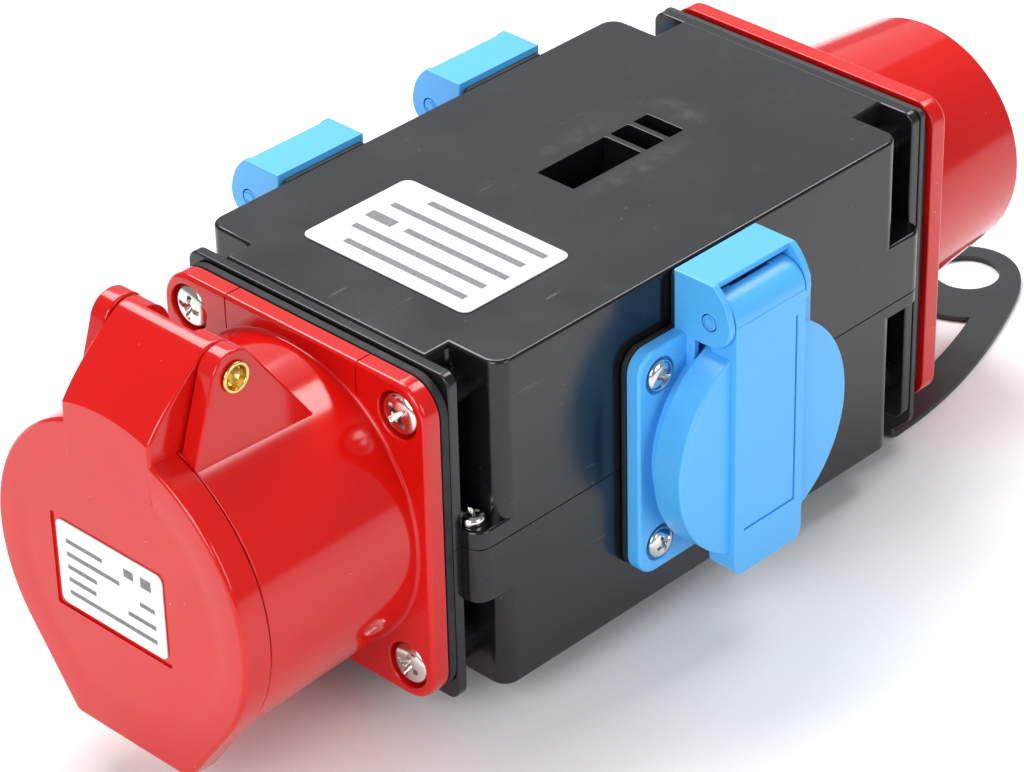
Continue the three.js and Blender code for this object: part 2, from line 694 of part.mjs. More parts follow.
function socketHousing(name, group) {
  const { flange, corner, flangeBack, flangeFront, ring, cup, bore, depth, cupBack } = SOCKET;
  const { x, z, cheekIn, cheekOut, top, front } = PIVOT;
  const profile = [
    [0, cupBack],
    [cup, cupBack],
    [cup, ring],
    [0, ring],
  ];
  const cheeks = [
    slabSide(cheekShape(), cheekIn, cheekOut),
    slabSide(cheekShape(), -cheekOut, -cheekIn),
  ];
  const body = join(
    slabX(roundedRect(flange / 2, flange / 2, corner), flangeBack, flangeFront),
    turned("x", profile, 24),
    ...cheeks,
    box(flangeBack, 4.2, -cheekOut, cheekOut, 14, top),
    box(flangeBack, front - 0.4, -cheekOut, cheekOut, top - 1.5, top),
  );
  const screws = corners.map(([sy, sz]) => {
    const [y, zz] = [sy * SOCKET.pitch, sz * SOCKET.pitch];
    const seat = rodX(3.8, flangeFront - 1.1, flangeFront + 1, y, zz, 10);
    return rodX(1.9, 0, flangeFront + 1, y, zz, 6).add(seat);
  });
  const whole = cut(
    body,
    rodX(bore, ring - depth - 4, ring + 1, 0, 0, 24),
    rodX(9, cupBack - 1, cupBack + 9, 0, 0, 10),
    at(rod("y", 1.9, -20, 20, 8), x, 0, z),
    ...screws,
  );
  addPart(`${name}_housing`, "blue", whole, group);
}

function socketInsert(name, group) {
  const face = SOCKET.ring - SOCKET.depth;
  const [x0, x1] = [face - 3.7, face];
  const pins = [-9.5, 9.5].map((y) => rodX(2.6, x0 - 1, x1 + 1, y, 0, 8));
  const earth = [-1, 1].map((s) => box(x0 - 1, x1 + 1, -3, 3, s * 17.4 - 1, s * 17.4 + 1));
  addPart(`${name}_insert`, "insert", cut(rodX(19.2, x0, x1, 0, 0, 24), ...pins, ...earth), group);
}

function socketLid(name, group) {
  const { radius, back, face, strap, half, bottom, lipBack } = FLAP;
  const { x, z, barrel } = PIVOT;
  const side = new THREE.Shape();
  side.moveTo(lipBack, bottom + 2);
  side.lineTo(strap - 1, bottom);
  side.lineTo(strap, bottom + 1);
  side.lineTo(strap, z);
  side.lineTo(x, z);
  side.lineTo(lipBack, z - 4);
  side.closePath();
  const shell = join(
    turned("x", [[0, back], [radius, back], [radius, face - 0.8], [radius - 0.8, face], [0, face]], 28),
    slabSide(side, -half, half).intersect(slabX(roundedRect(half, 32, 4.2, 0, bottom + 32), 0, 20)),
    at(rod("y", barrel, -half, half, 14), x, 0, z),
  );
  const inside = rodX(22.4, back - 1, face - 1.8, 0, 0, 24);
  const spring = join(
    at(rod("y", 3.7, -5.6, 5.6, 10), x, 0, z),
    box(x - 8, x, -5.6, 5.6, z - 5, z + 7),
  );
  const whole = cut(shell, inside, at(rod("y", 1.95, -20, 20, 8), x, 0, z), spring);
  addPart(`${name}_lid`, "blue", whole, group);
}

function socketHinge(name, group) {
  const { x, z, cheekOut } = PIVOT;
  addPart(`${name}_hinge_pin`, "blue", at(rod("y", 1.6, -cheekOut, cheekOut, 8), x, 0, z), group);
  const coil = coilSpring(2.6, 0.33, 4.6, 4, [4.9, -2.6]).rotate([0, 0, 90]);
  addPart(`${name}_lid_spring`, "steel", at(coil, x, 0, z), group);
}

function socketScrews(name, group) {
  corners.forEach(([sy, sz], i) => {
    const screw = addPart(`${name}_screw_${i + 1}`, "steel", panScrew(3.3, 2, 1.4, 12), group);
    screw.rotation.y = Math.PI / 2;
    screw.position.set(SOCKET.flangeFront - 1, sy * SOCKET.pitch, sz * SOCKET.pitch);
  });
}

function sideSocket({ name, side, y, screws }) {
  const group = new THREE.Group();
  socketGasket(name, group);
  socketHousing(name, group);
  socketInsert(name, group);
  socketLid(name, group);
  socketHinge(name, group);
  if (screws) socketScrews(name, group);
  group.position.set(side * BOX.halfX, y, SOCKET.z);
  group.rotation.z = side > 0 ? 0 : Math.PI;
  root.add(group);
}

// ---- Wiring ----
function wiringLoom() {
  const trunk = tube(
    [[0, 53.8, 36], [0, 44, 30], [0, 25, 20], [0, -25, 20], [0, -44, 30], [0, -54.8, 36]],
    4.5,
    16,
    8,
  );
  const branches = SIDE_SOCKETS.map(({ side, y }) => {
    const reach = BOX.halfX + SOCKET.cupBack - 0.6;
    const path = [[0, y, 20], [side * 7, y, 24], [side * 13, y, 34], [side * reach, y, SOCKET.z]];
    return tube(path, 2.6, 6, 6);
  });
  addPart("wiring_loom", "wire", join(trunk, ...branches));
}

// ---- Assembly ----
shells();
topLabel();
caseScrews();
hangingBracket();

outletHousing();
outletLid();
outletLidSeal();
outletHingePin();
outletLidSpring();
outletContacts();
flangeGasket("outlet_gasket", OUTLET.flangeBack + GAP);
flangeScrews("outlet_screw", OUTLET.flangeFront + 2.3, -1);

inletHousing();
inletPins();
flangeGasket("inlet_gasket", INLET.flangeBack - GAP - GASKET);
flangeScrews("inlet_screw", INLET.flangeFront - 2.3, 1);

SIDE_SOCKETS.forEach(sideSocket);
wiringLoom();

export default root;
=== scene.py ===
"""Portable power distribution box: the detailed visual model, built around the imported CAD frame.

Shapes are made in millimetres in the row frame (+Y from the outlet end to the inlet end, +X towards the
side with one socket, +Z up), and each finished piece is scaled to metres.
"""

import json
import math

import bmesh
import bpy
from mathutils import Matrix, Vector


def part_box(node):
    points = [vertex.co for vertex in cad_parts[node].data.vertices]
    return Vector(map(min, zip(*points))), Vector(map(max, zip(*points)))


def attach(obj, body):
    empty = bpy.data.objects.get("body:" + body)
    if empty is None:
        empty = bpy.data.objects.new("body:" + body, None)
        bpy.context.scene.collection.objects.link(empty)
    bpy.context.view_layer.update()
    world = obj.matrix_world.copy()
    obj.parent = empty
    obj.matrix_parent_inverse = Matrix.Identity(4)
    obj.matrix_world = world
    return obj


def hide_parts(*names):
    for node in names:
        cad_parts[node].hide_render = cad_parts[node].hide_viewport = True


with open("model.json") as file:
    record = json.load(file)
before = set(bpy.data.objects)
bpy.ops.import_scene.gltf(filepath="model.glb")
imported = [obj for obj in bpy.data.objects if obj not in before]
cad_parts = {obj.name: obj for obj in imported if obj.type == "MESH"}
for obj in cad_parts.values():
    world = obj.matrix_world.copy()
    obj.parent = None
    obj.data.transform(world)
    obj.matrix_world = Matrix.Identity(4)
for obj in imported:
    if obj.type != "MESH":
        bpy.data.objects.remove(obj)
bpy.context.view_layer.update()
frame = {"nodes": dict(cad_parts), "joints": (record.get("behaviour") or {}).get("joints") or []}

MM = 0.001


# ---- Places from the frame, in millimetres ----
def extent(node):
    """Lowest and highest corner of a CAD node."""
    low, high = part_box(node)
    return Vector(low) / MM, Vector(high) / MM


def centre(node):
    low, high = extent(node)
    return (low + high) / 2


JOINTS = {joint["name"]: joint for joint in frame["joints"]}
HINGE = Vector(JOINTS["outlet_lid_hinge"]["pos_m"]) / MM

HINGE_AXIS = (HINGE.y, HINGE.z)

UPPER_LOW, UPPER_HIGH = extent("upper_shell")
OUTLET_LOW, OUTLET_HIGH = extent("outlet_housing")
INLET_LOW, INLET_HIGH = extent("inlet_housing")
LID_LOW = extent("outlet_lid")[0]
BRACKET_LOW, BRACKET_HIGH = extent("hanging_bracket")

BODY = "enclosure"
CORNERS = [(1, 1), (-1, 1), (-1, -1), (1, -1)]

# Both five-pole fittings have the same axis height, square flange and fixing pattern.
FIT_Z = centre("outlet_gasket").z
FIT_AXIS = (0, FIT_Z)
FIT_HALF = (extent("outlet_gasket")[1].x - extent("outlet_gasket")[0].x) / 2
FIT_PITCH = centre("outlet_screw_1").x
FIT_SCREWS = [(sx * FIT_PITCH, FIT_Z + sz * FIT_PITCH) for sx, sz in CORNERS]
OUTLET_CORNER = 7.2
INLET_CORNER = 5.2
SHANK_HOLE = 2.3
SEAT_DEPTH = 2.3  # of the screw heads' seats below a flange's face

SHELL = {"half_x": 38.9, "half_y": 57.4, "corner": 3.6, "wall": 2.6}
SHELL["seam"], SHELL["top"] = UPPER_LOW.z, UPPER_HIGH.z
NECK_X = 26.6
RIM = {"half_x": 34.8, "top": 72.5, "hole": 24.4}
TAB_CORNER = 3.6
# Each end's rim plate runs from `rim` to `face`. The rear tabs are the front ones turned over.
FRONT = {"sign": -1, "rim": 63.5, "face": -UPPER_LOW.y, "tab": (22.4, 38.6), "bore": (24.4, 40)}
REAR = {"sign": 1, "rim": 66.0, "face": UPPER_HIGH.y, "tab": (31.4, 48.4), "bore": (30, 46.4)}
ENDS = (FRONT, REAR)

# The side each socket is on: 1 is +X.
SOCKETS = {"right_socket": 1, "left_front_socket": -1, "left_rear_socket": -1}
SOCKET_Z = centre("right_socket_insert").z
SOCKET_PITCH = 19
SOCKET_SCREWS = [(sy * SOCKET_PITCH, sz * SOCKET_PITCH) for sy, sz in CORNERS]


# ---- Outlines: lists of (u, v) points, counter-clockwise ----
def arc(cx, cy, r, start, end, steps=12):
    """Points along an arc. Angles are in degrees."""
    span = [math.radians(start + (end - start) * i / steps) for i in range(steps + 1)]
    return [(cx + r * math.cos(a), cy + r * math.sin(a)) for a in span]


def rounded_rect(half_u, half_v, r, cu=0, cv=0, steps=8):
    points = []
    for k, (su, sv) in enumerate([(1, -1), (1, 1), (-1, 1), (-1, -1)]):
        corner = (cu + su * (half_u - r), cv + sv * (half_v - r))
        points += arc(*corner, r, -90 + 90 * k, 90 * k, steps)
    return points


def quadratic(start, control, end, steps):
    """Points along a curve with one control point, without its start."""
    made = []
    for i in range(1, steps + 1):
        t = i / steps
        q = Vector(start) * (1 - t) ** 2 + Vector(control) * (2 * t * (1 - t)) + Vector(end) * t * t
        made.append(tuple(q))
    return made


def bezier(p0, p1, p2, p3, steps=24):
    """Points along a curve with two control points."""
    made = []
    for i in range(steps + 1):
        t = i / steps
        weights = ((1 - t) ** 3, 3 * t * (1 - t) ** 2, 3 * t * t * (1 - t), t**3)
        made.append(tuple(sum(w * p[k] for w, p in zip(weights, (p0, p1, p2, p3))) for k in (0, 1)))
    return made


def tidy_outline(points, least=1e-4):
    """Drops points that repeat the one before."""
    kept = []
    for p in points:
        if not kept or math.dist(p, kept[-1]) > least:
            kept.append(p)
    if math.dist(kept[0], kept[-1]) <= least:
        kept.pop()
    return kept


def fillet(points, radius, steps=6, closed=True):
    """Rounds the corners of a polyline. radius is one number, or a list with one for each point."""
    radii = radius if isinstance(radius, (list, tuple)) else [radius] * len(points)
    made = []
    for i, p in enumerate(points):
        at_end = not closed and i in (0, len(points) - 1)
        if at_end or radii[i] <= 0:
            made.append(p)
            continue
        corner = Vector(p)
        before, after = Vector(points[i - 1]), Vector(points[(i + 1) % len(points)])
        into, out = (before - corner).normalized(), (after - corner).normalized()
        half = into.angle(out) / 2
        if half > math.radians(89):
            made.append(p)
            continue
        reach = radii[i] / math.tan(half)
        middle = corner + (into + out).normalized() * (radii[i] / math.sin(half))
        a, b = corner + into * reach - middle, corner + out * reach - middle
        turn = a.angle_signed(b)
        for k in range(steps + 1):
            angle = -turn * k / steps
            c, s = math.cos(angle), math.sin(angle)
            made.append((middle.x + a.x * c - a.y * s, middle.y + a.x * s + a.y * c))
    return made


def area(points):
    """The signed area of an outline: negative when it runs clockwise."""
    pairs = zip(points, points[1:] + points[:1])
    return sum(a[0] * b[1] - b[0] * a[1] for a, b in pairs) / 2


def inset(points, distance):
    """Moves each side of an outline inwards."""
    if distance == 0:
        return list(points)
    count, made = len(points), []
    for i, p in enumerate(points):
        before, after = Vector(points[i - 1]), Vector(points[(i + 1) % count])
        p = Vector(p)
        d1, d2 = (p - before).normalized(), (after - p).normalized()
        n1, n2 = Vector((-d1.y, d1.x)), Vector((-d2.y, d2.x))
        shift = (n1 + n2) / max(0.3, 1 + n1.dot(n2))
        made.append(tuple(p + shift * distance))
    return made


# ---- Solids, in millimetres ----
PLACE = {
    "x": lambda u, v, h: (h, u, v),
    "y": lambda u, v, h: (u, h, v),
    "z": lambda u, v, h: (u, v, h),
}


def add_object(name, data):
    made = bpy.data.objects.new(name, data)
    bpy.context.scene.collection.objects.link(made)
    return made


def solid(bm):
    """A work object from a bmesh."""
    bmesh.ops.recalc_face_normals(bm, faces=bm.faces)
    mesh = bpy.data.meshes.new("work")
    bm.to_mesh(mesh)
    bm.free()
    return add_object("work", mesh)


def skin(rings, loop=False):
    """A closed skin over rings with equal counts of points, capped at both ends or joined in a loop."""
    bm = bmesh.new()
    rows = [[bm.verts.new(p) for p in ring] for ring in rings]
    count = len(rows[0])
    pairs = list(zip(rows, rows[1:])) + ([(rows[-1], rows[0])] if loop else [])
    for low, high in pairs:
        for i in range(count):
            j = (i + 1) % count
            bm.faces.new((low[i], low[j], high[j], high[i]))
    if not loop:
        bm.faces.new(rows[0])
        bm.faces.new(rows[-1])
    return solid(bm)


def quarter(steps):
    """Angles from 0 to a right angle."""
    return [math.pi / 2 * i / steps for i in range(steps + 1)]


def round_levels(h0, h1, r0, r1, steps=4):
    """Heights and insets for an extrusion whose end edges are rounded."""
    angles = quarter(steps)

    def end(h, r, way):
        if not r:
            return [(h, 0)]
        return [(h + way * r * (1 - math.cos(a)), r * (1 - math.sin(a))) for a in angles]

    return end(h0, r0, 1) + end(h1, r1, -1)[::-1]


def slab(outline, h0, h1, axis="z", r0=0.0, r1=0.0, steps=4):
    """An outline extruded along an axis, with rounded edges at its two ends."""
    outline = tidy_outline(outline)
    if area(outline) < 0:
        outline = outline[::-1]
    rings = []
    for h, by in round_levels(h0, h1, r0, r1, steps):
        rings.append([PLACE[axis](u, v, h) for u, v in inset(outline, by)])
    return skin(rings)


def block(x0, x1, y0, y1, z0, z1):
    return slab([(x0, y0), (x1, y0), (x1, y1), (x0, y1)], z0, z1)


def lathe(profile, axis="y", at=(0, 0), segments=96, loop=False):
    """A turned solid about an axis through `at`, from (radius, height, corner radius) points."""
    points = [(p[0], p[1]) for p in profile]
    radii = [p[2] if len(p) > 2 else 0 for p in profile]
    points = fillet(points, radii, 5, closed=loop)
    if loop:
        points = tidy_outline(points)
    turn = [2 * math.pi * i / segments for i in range(segments)]
    rings = []
    for r, h in points:
        if r < 1e-6:
            continue
        rings.append([PLACE[axis](at[0] + r * math.cos(a), at[1] + r * math.sin(a), h) for a in turn])
    return skin(rings, loop)


def rod(axis, r, h0, h1, at=(0, 0), segments=48, edge=0.0):
    return lathe([(0, h0), (r, h0, edge), (r, h1, edge), (0, h1)], axis, at, segments)


def hole_tool(axis, r, head, seat, face, back, at, rim=0.35, segments=48):
    """Cuts a screw hole: a shank bore of radius r, a counterbore down to `seat`, and a rolled rim."""
    out = 1 if face > back else -1
    profile = [(0, back), (r, back), (r, seat), (head, seat)]
    for a in quarter(5):
        profile.append((head + rim * (1 - math.cos(a)), face - out * rim * (1 - math.sin(a))))
    profile += [(head + rim, face + out * 3), (0, face + out * 3)]
    return lathe(profile, axis, at, segments)


def combine(target, tool, operation):
    """Applies a boolean to a work solid, and removes the tool."""
    modifier = target.modifiers.new("work", "BOOLEAN")
    modifier.object = tool
    modifier.operation = operation
    modifier.solver = "MANIFOLD"
    graph = bpy.context.evaluated_depsgraph_get()
    mesh = bpy.data.meshes.new_from_object(target.evaluated_get(graph))
    target.modifiers.clear()
    old, spent = target.data, tool.data
    target.data = mesh
    bpy.data.meshes.remove(old)
    bpy.data.objects.remove(tool)
    if not spent.users:
        bpy.data.meshes.remove(spent)
    return target


def join(first, *others):
    for other in others:
        combine(first, other, "UNION")
    return first


def cut(body, *tools):
    for tool in tools:
        combine(body, tool, "DIFFERENCE")
    return body


def common(body, tool):
    return combine(body, tool, "INTERSECT")


def move(made, x=0.0, y=0.0, z=0.0, turn=None, axis="Z"):
    """Moves a work solid, after turning it by `turn` degrees about an axis through the origin."""
    matrix = Matrix.Translation((x, y, z))
    if turn is not None:
        matrix = matrix @ Matrix.Rotation(math.radians(turn), 4, axis)
    made.data.transform(matrix)
    return made


def mirror(made, axis):
    """A mirrored copy."""
    copy = add_object("work", made.data.copy())
    copy.data.transform(Matrix.Scale(-1, 4, Vector([float(a == axis) for a in "xyz"])))
    copy.data.flip_normals()
    return copy


def sweep(points, r, sides=12):
    """A round wire along a list of points."""
    points = [Vector(p) for p in points]
    rings = []
    up = Vector((0, 0, 1))
    for i, p in enumerate(points):
        ahead = points[min(i + 1, len(points) - 1)] - points[max(i - 1, 0)]
        ahead.normalize()
        side = up - ahead * up.dot(ahead)
        if side.length < 0.2:
            side = Vector((1, 0, 0)) - ahead * ahead.x
        side.normalize()
        up = side
        across = ahead.cross(side)
        turn = [2 * math.pi * k / sides for k in range(sides)]
        rings.append([p + side * (r * math.cos(a)) + across * (r * math.sin(a)) for a in turn])
    return skin(rings)


# ---- Finishing a piece ----
SHARP = math.radians(32)  # edges that turn more than this stay sharp


def finish(made, name, body, slot, material, *nodes, placed=None):
    """Scales a work solid to metres, shades it, gives it its material, and ties it to its body and CAD
    nodes. slot is not used.
    """
    made.name = made.data.name = name
    if not made.data.get("done"):
        made.data.transform(Matrix.Scale(MM, 4))
        bm = bmesh.new()
        bm.from_mesh(made.data)
        bmesh.ops.remove_doubles(bm, verts=bm.verts, dist=2e-6)
        bmesh.ops.dissolve_degenerate(bm, edges=bm.edges, dist=1e-6)
        for face in bm.faces:
            face.smooth = True
        for edge in bm.edges:
            edge.smooth = edge.is_manifold and edge.calc_face_angle(0) < SHARP
        bm.to_mesh(made.data)
        bm.free()
        made.data["done"] = True
        made.data.materials.clear()
        made.data.materials.append(material)
    modifier = made.modifiers.new("weighted", "WEIGHTED_NORMAL")
    modifier.keep_sharp = True
    modifier.mode = "FACE_AREA_WITH_ANGLE"
    if placed is not None:
        made.matrix_world = placed
    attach(made, body)
    if nodes:
        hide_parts(*nodes)
    return made


def copies(made, name):
    """Another object that shares a finished piece's mesh."""
    return add_object(name, made.data)


# ---- Materials ----
class Nodes:
    """Builds one material's node tree, with coordinates in millimetres."""

    def __init__(self, name):
        self.material = bpy.data.materials.new(name)
        self.material.use_nodes = True
        self.tree = self.material.node_tree
        self.shader = self.tree.nodes["Principled BSDF"]
        where = self.tree.nodes.new("ShaderNodeTexCoord")
        scale = self.tree.nodes.new("ShaderNodeVectorMath")
        scale.operation = "SCALE"
        scale.inputs["Scale"].default_value = 1 / MM
        self.link(where.outputs["Object"], scale.inputs[0])
        self.mm = scale.outputs[0]

    def link(self, out, into):
        self.tree.links.new(out, into)

    def noise(self, size, detail=3.0, rough=0.55, stretch=(1, 1, 1)):
        """Cloudy noise with features of about `size` millimetres, from 0 to 1."""
        mapping = self.tree.nodes.new("ShaderNodeMapping")
        mapping.inputs["Scale"].default_value = [s / size for s in stretch]
        self.link(self.mm, mapping.inputs["Vector"])
        texture = self.tree.nodes.new("ShaderNodeTexNoise")
        texture.inputs["Scale"].default_value = 1.0
        texture.inputs["Detail"].default_value = detail
        texture.inputs["Roughness"].default_value = rough
        self.link(mapping.outputs[0], texture.inputs["Vector"])
        return texture.outputs["Fac"]

    def specks(self, spacing, radius):
        """Sparse round specks: 1 on a speck and 0 elsewhere."""
        texture = self.tree.nodes.new("ShaderNodeTexVoronoi")
        texture.inputs["Scale"].default_value = 1 / spacing
        self.link(self.mm, texture.inputs["Vector"])
        return self.ramp(texture.outputs["Distance"], radius, radius * 0.4, 0, 1)

    def patch(self, middle, half):
        """A soft-edged ellipsoid: 1 in the middle and 0 past `half` millimetres along each axis."""
        away = self.vector("SUBTRACT", self.mm, middle)
        away = self.vector("DIVIDE", away, half)
        return self.ramp(self.vector("LENGTH", away), 0.45, 1.0, 1, 0)

    def vector(self, operation, a, b=None):
        node = self.tree.nodes.new("ShaderNodeVectorMath")
        node.operation = operation
        self.link(a, node.inputs[0])
        if b is not None:
            node.inputs[1].default_value = b
        return node.outputs["Value" if operation in ("LENGTH", "DOT_PRODUCT") else "Vector"]

    def ramp(self, value, low, high, to_low, to_high):
        """Maps low..high onto to_low..to_high, clamped."""
        node = self.tree.nodes.new("ShaderNodeMapRange")
        numbers = (low, high, to_low, to_high)
        for key, number in zip(("From Min", "From Max", "To Min", "To Max"), numbers):
            node.inputs[key].default_value = number
        self.link(value, node.inputs["Value"])
        return node.outputs["Result"]

    def math(self, operation, a, b):
        node = self.tree.nodes.new("ShaderNodeMath")
        node.operation = operation
        node.use_clamp = True
        for value, socket in zip((a, b), node.inputs):
            if isinstance(value, (int, float)):
                socket.default_value = value
            else:
                self.link(value, socket)
        return node.outputs[0]

    def cloud(self, size, detail=4, rough=0.6, low=0.3, high=0.7, to=(0, 1)):
        """Soft clouds: noise spread over `to`."""
        return self.ramp(self.noise(size, detail, rough), low, high, *to)

    def dusty(self, tint, spacing, radius, patches, amount, colour):
        """Pale dust on a colour, in patches of a size. amount is (noise level of full dust, share)."""
        where = self.ramp(self.noise(patches), 0.5, amount[0], 0, amount[1])
        return self.blend(self.math("MULTIPLY", self.specks(spacing, radius), where), tint, colour)

    def blend(self, factor, low, high):
        """Mixes two colours, or a colour and an earlier mix."""
        node = self.tree.nodes.new("ShaderNodeMix")
        node.data_type = "RGBA"
        self.link(factor, node.inputs["Factor"])
        for value, socket in ((low, node.inputs["A"]), (high, node.inputs["B"])):
            if isinstance(value, tuple):
                socket.default_value = (*value, 1)
            else:
                self.link(value, socket)
        return node.outputs["Result"]

    def bump(self, height, depth):
        """Bump from a 0 to 1 height that stands `depth` millimetres."""
        node = self.tree.nodes.new("ShaderNodeBump")
        node.inputs["Strength"].default_value = 1.0
        node.inputs["Distance"].default_value = depth * MM
        self.link(height, node.inputs["Height"])
        self.link(node.outputs[0], self.shader.inputs["Normal"])

    def set(self, **values):
        for key, value in values.items():
            socket = self.shader.inputs[key.replace("_", " ")]
            if isinstance(value, (int, float, tuple)):
                socket.default_value = value
            else:
                self.link(value, socket)
        return self.material


def shade(colour, factor):
    return tuple(min(1.0, c * factor) for c in colour)


def moulded_plastic(name, colour, dark, light, rough, peel):
    """Moulded plastic: flow clouds in its colour, an orange-peel skin, fine scuffs and a little dust."""
    n = Nodes(name)
    tint = n.blend(n.cloud(38), shade(colour, dark), shade(colour, light))
    fine = n.noise(0.5, 3, 0.6)
    smear = n.ramp(n.noise(9, 5, 0.65, (1, 0.35, 1)), 0.55, 0.78, 0, 1)
    tint = n.dusty(tint, 3.4, 0.05, 16, (0.62, 0.55), (0.75, 0.74, 0.72))
    base = n.cloud(24, 5, 0.6, 0.3, 0.72, (rough * 0.85, rough * 1.18))
    roughness = n.math("ADD", base, n.math("MULTIPLY", smear, rough * 0.22))
    waves = n.math("MULTIPLY", n.noise(2.6, 2, 0.5), 0.85)
    n.bump(n.math("ADD", waves, n.math("MULTIPLY", fine, 0.15)), peel)
    return n.set(Base_Color=tint, Roughness=roughness, Metallic=0.0)


# Hazy handling marks on the enclosure's top, round the pocket: middle and half sizes in millimetres.
HAZE = [
    ((-9.3, 12.8, 73), (3, 10, 3)),
    ((-1, 36, 73), (8, 4.5, 3)),
    ((8.3, 14, 73), (3.5, 17, 3)),
]


def black_plastic():
    """Charcoal moulded plastic with cloudy flow marks, hairline scuffs and pale dust."""
    n = Nodes("black_plastic")
    tint = n.blend(n.cloud(30, 5, 0.62, 0.32), (0.0045, 0.0046, 0.0056), (0.0085, 0.0087, 0.0102))
    hair = n.noise(1.1, 2, 0.5, (1, 0.05, 1))
    patch = n.cloud(14, low=0.52, high=0.66)
    scratch = n.math("MULTIPLY", n.ramp(hair, 0.69, 0.74, 0, 1), patch)
    tint = n.blend(n.math("MULTIPLY", scratch, 0.35), tint, (0.16, 0.16, 0.165))
    tint = n.dusty(tint, 2.6, 0.06, 13, (0.64, 0.7), (0.42, 0.41, 0.39))
    bloom = n.cloud(7, 5, 0.66, 0.6, 0.8, (0, 0.22))
    tint = n.blend(bloom, tint, (0.055, 0.055, 0.06))
    haze = None
    for middle, half in HAZE:
        spot = n.patch(middle, half)
        haze = spot if haze is None else n.math("MAXIMUM", haze, spot)
    haze = n.math("MULTIPLY", haze, n.cloud(5, low=0.4, high=0.62, to=(0.1, 1)))
    tint = n.blend(n.math("MULTIPLY", haze, 0.5), tint, (0.062, 0.063, 0.072))
    base = n.cloud(22, 5, 0.6, 0.3, 0.72, (0.13, 0.24))
    roughness = n.math("ADD", base, n.math("MULTIPLY", scratch, 0.25))
    n.bump(n.noise(1.6, 3, 0.55), 0.008)
    return n.set(Base_Color=tint, Roughness=roughness, Metallic=0.0)


def rubber():
    """Matt black rubber with a fine grain and a little dust."""
    n = Nodes("rubber_seal")
    tint = n.blend(n.cloud(9), (0.006, 0.006, 0.0065), (0.014, 0.014, 0.015))
    tint = n.dusty(tint, 1.8, 0.07, 8, (0.64, 0.5), (0.3, 0.29, 0.28))
    n.bump(n.noise(0.35, 3, 0.6), 0.02)
    return n.set(Base_Color=tint, Roughness=n.ramp(n.noise(5), 0.3, 0.7, 0.55, 0.78), Metallic=0.0)


def metal(name, colour, rough, grain):
    """Turned or plated metal: a slight tarnish and a fine grain."""
    n = Nodes(name)
    tint = n.blend(n.cloud(3.5, low=0.4, high=0.72), colour, shade(colour, 0.8))
    n.bump(n.noise(0.22, 3, 0.55, grain), 0.004)
    roughness = n.cloud(1.4, high=0.75, to=(rough * 0.8, rough * 1.35))
    return n.set(Base_Color=tint, Roughness=roughness, Metallic=1.0)


def painted_sheet():
    """Satin black powder coat on sheet steel."""
    n = Nodes("bracket_paint")
    tint = n.blend(n.cloud(20), (0.012, 0.012, 0.013), (0.02, 0.02, 0.0215))
    tint = n.dusty(tint, 2.3, 0.06, 11, (0.64, 0.5), (0.35, 0.34, 0.33))
    n.bump(n.noise(0.7, 3, 0.5), 0.012)
    return n.set(Base_Color=tint, Roughness=n.ramp(n.noise(9), 0.3, 0.7, 0.33, 0.45), Metallic=0.0)


def label_film(name, middle, rows, across, along):
    """White film with plain grey bars where a real label has print.

    across and along are the label's unit axes. rows are (offset along, start across, end across,
    half height), in millimetres from the middle.
    """
    n = Nodes(name)
    from_middle = n.vector("SUBTRACT", n.mm, middle)
    u = n.vector("DOT_PRODUCT", from_middle, across)
    v = n.vector("DOT_PRODUCT", from_middle, along)
    ink = None
    soft = 0.09
    for offset, start, end, half in rows:
        inside = n.ramp(v, offset - half - soft, offset - half, 0, 1)
        inside = n.math("MULTIPLY", inside, n.ramp(v, offset + half, offset + half + soft, 1, 0))
        inside = n.math("MULTIPLY", inside, n.ramp(u, start - soft, start, 0, 1))
        inside = n.math("MULTIPLY", inside, n.ramp(u, end, end + soft, 1, 0))
        ink = inside if ink is None else n.math("MAXIMUM", ink, inside)
    paper = n.blend(n.cloud(11), (0.74, 0.75, 0.76), (0.82, 0.825, 0.83))
    wear = n.ramp(n.noise(0.6, 3, 0.6), 0.3, 0.75, 1.0, 0.82)
    tint = n.blend(n.math("MULTIPLY", ink, wear), paper, (0.11, 0.11, 0.12))
    n.bump(n.noise(1.2, 3, 0.55), 0.006)
    return n.set(Base_Color=tint, Roughness=n.ramp(n.noise(6), 0.3, 0.7, 0.34, 0.46), Metallic=0.0)


RED = moulded_plastic("red_plastic", (0.58, 0.005, 0.003), 0.94, 1.05, 0.12, 0.004)
BLUE = moulded_plastic("blue_plastic", (0.08, 0.425, 0.87), 0.95, 1.04, 0.33, 0.006)
BLACK = black_plastic()
INSERT = moulded_plastic("insert_plastic", (0.03, 0.031, 0.034), 0.85, 1.15, 0.42, 0.008)
RUBBER = rubber()
STEEL = metal("plated_steel", (0.78, 0.76, 0.72), 0.14, (1, 1, 1))
BRASS = metal("contact_brass", (0.83, 0.61, 0.22), 0.2, (0.2, 1, 1))
PAINT = painted_sheet()
SHEATH = moulded_plastic("cable_sheath", (0.02, 0.02, 0.022), 0.85, 1.15, 0.55, 0.02)


# ---- Enclosure ----
def tab_outline(sx, end):
    reach = end["rim"] + 0.2
    start = SHELL["half_y"] - SHELL["corner"] - 0.2
    points = [(NECK_X - 1, start), (SHELL["half_x"], start)]
    points += [(SHELL["half_x"], reach), (NECK_X - 1, reach)]
    return [(sx * x, end["sign"] * y) for x, y in fillet(points, [0, 0, TAB_CORNER, 0], 10)]


def notch_fillet(sx, sy, r=1.6):
    """The small fillet between the neck's side and the enclosure's end face."""
    x, y = NECK_X, SHELL["half_y"]
    points = [(x - 0.6, y - 0.6), (x + r, y - 0.6), *arc(x + r, y + r, r, 270, 180, 6), (x - 0.6, y + r)]
    return [(sx * u, sy * v) for u, v in points]


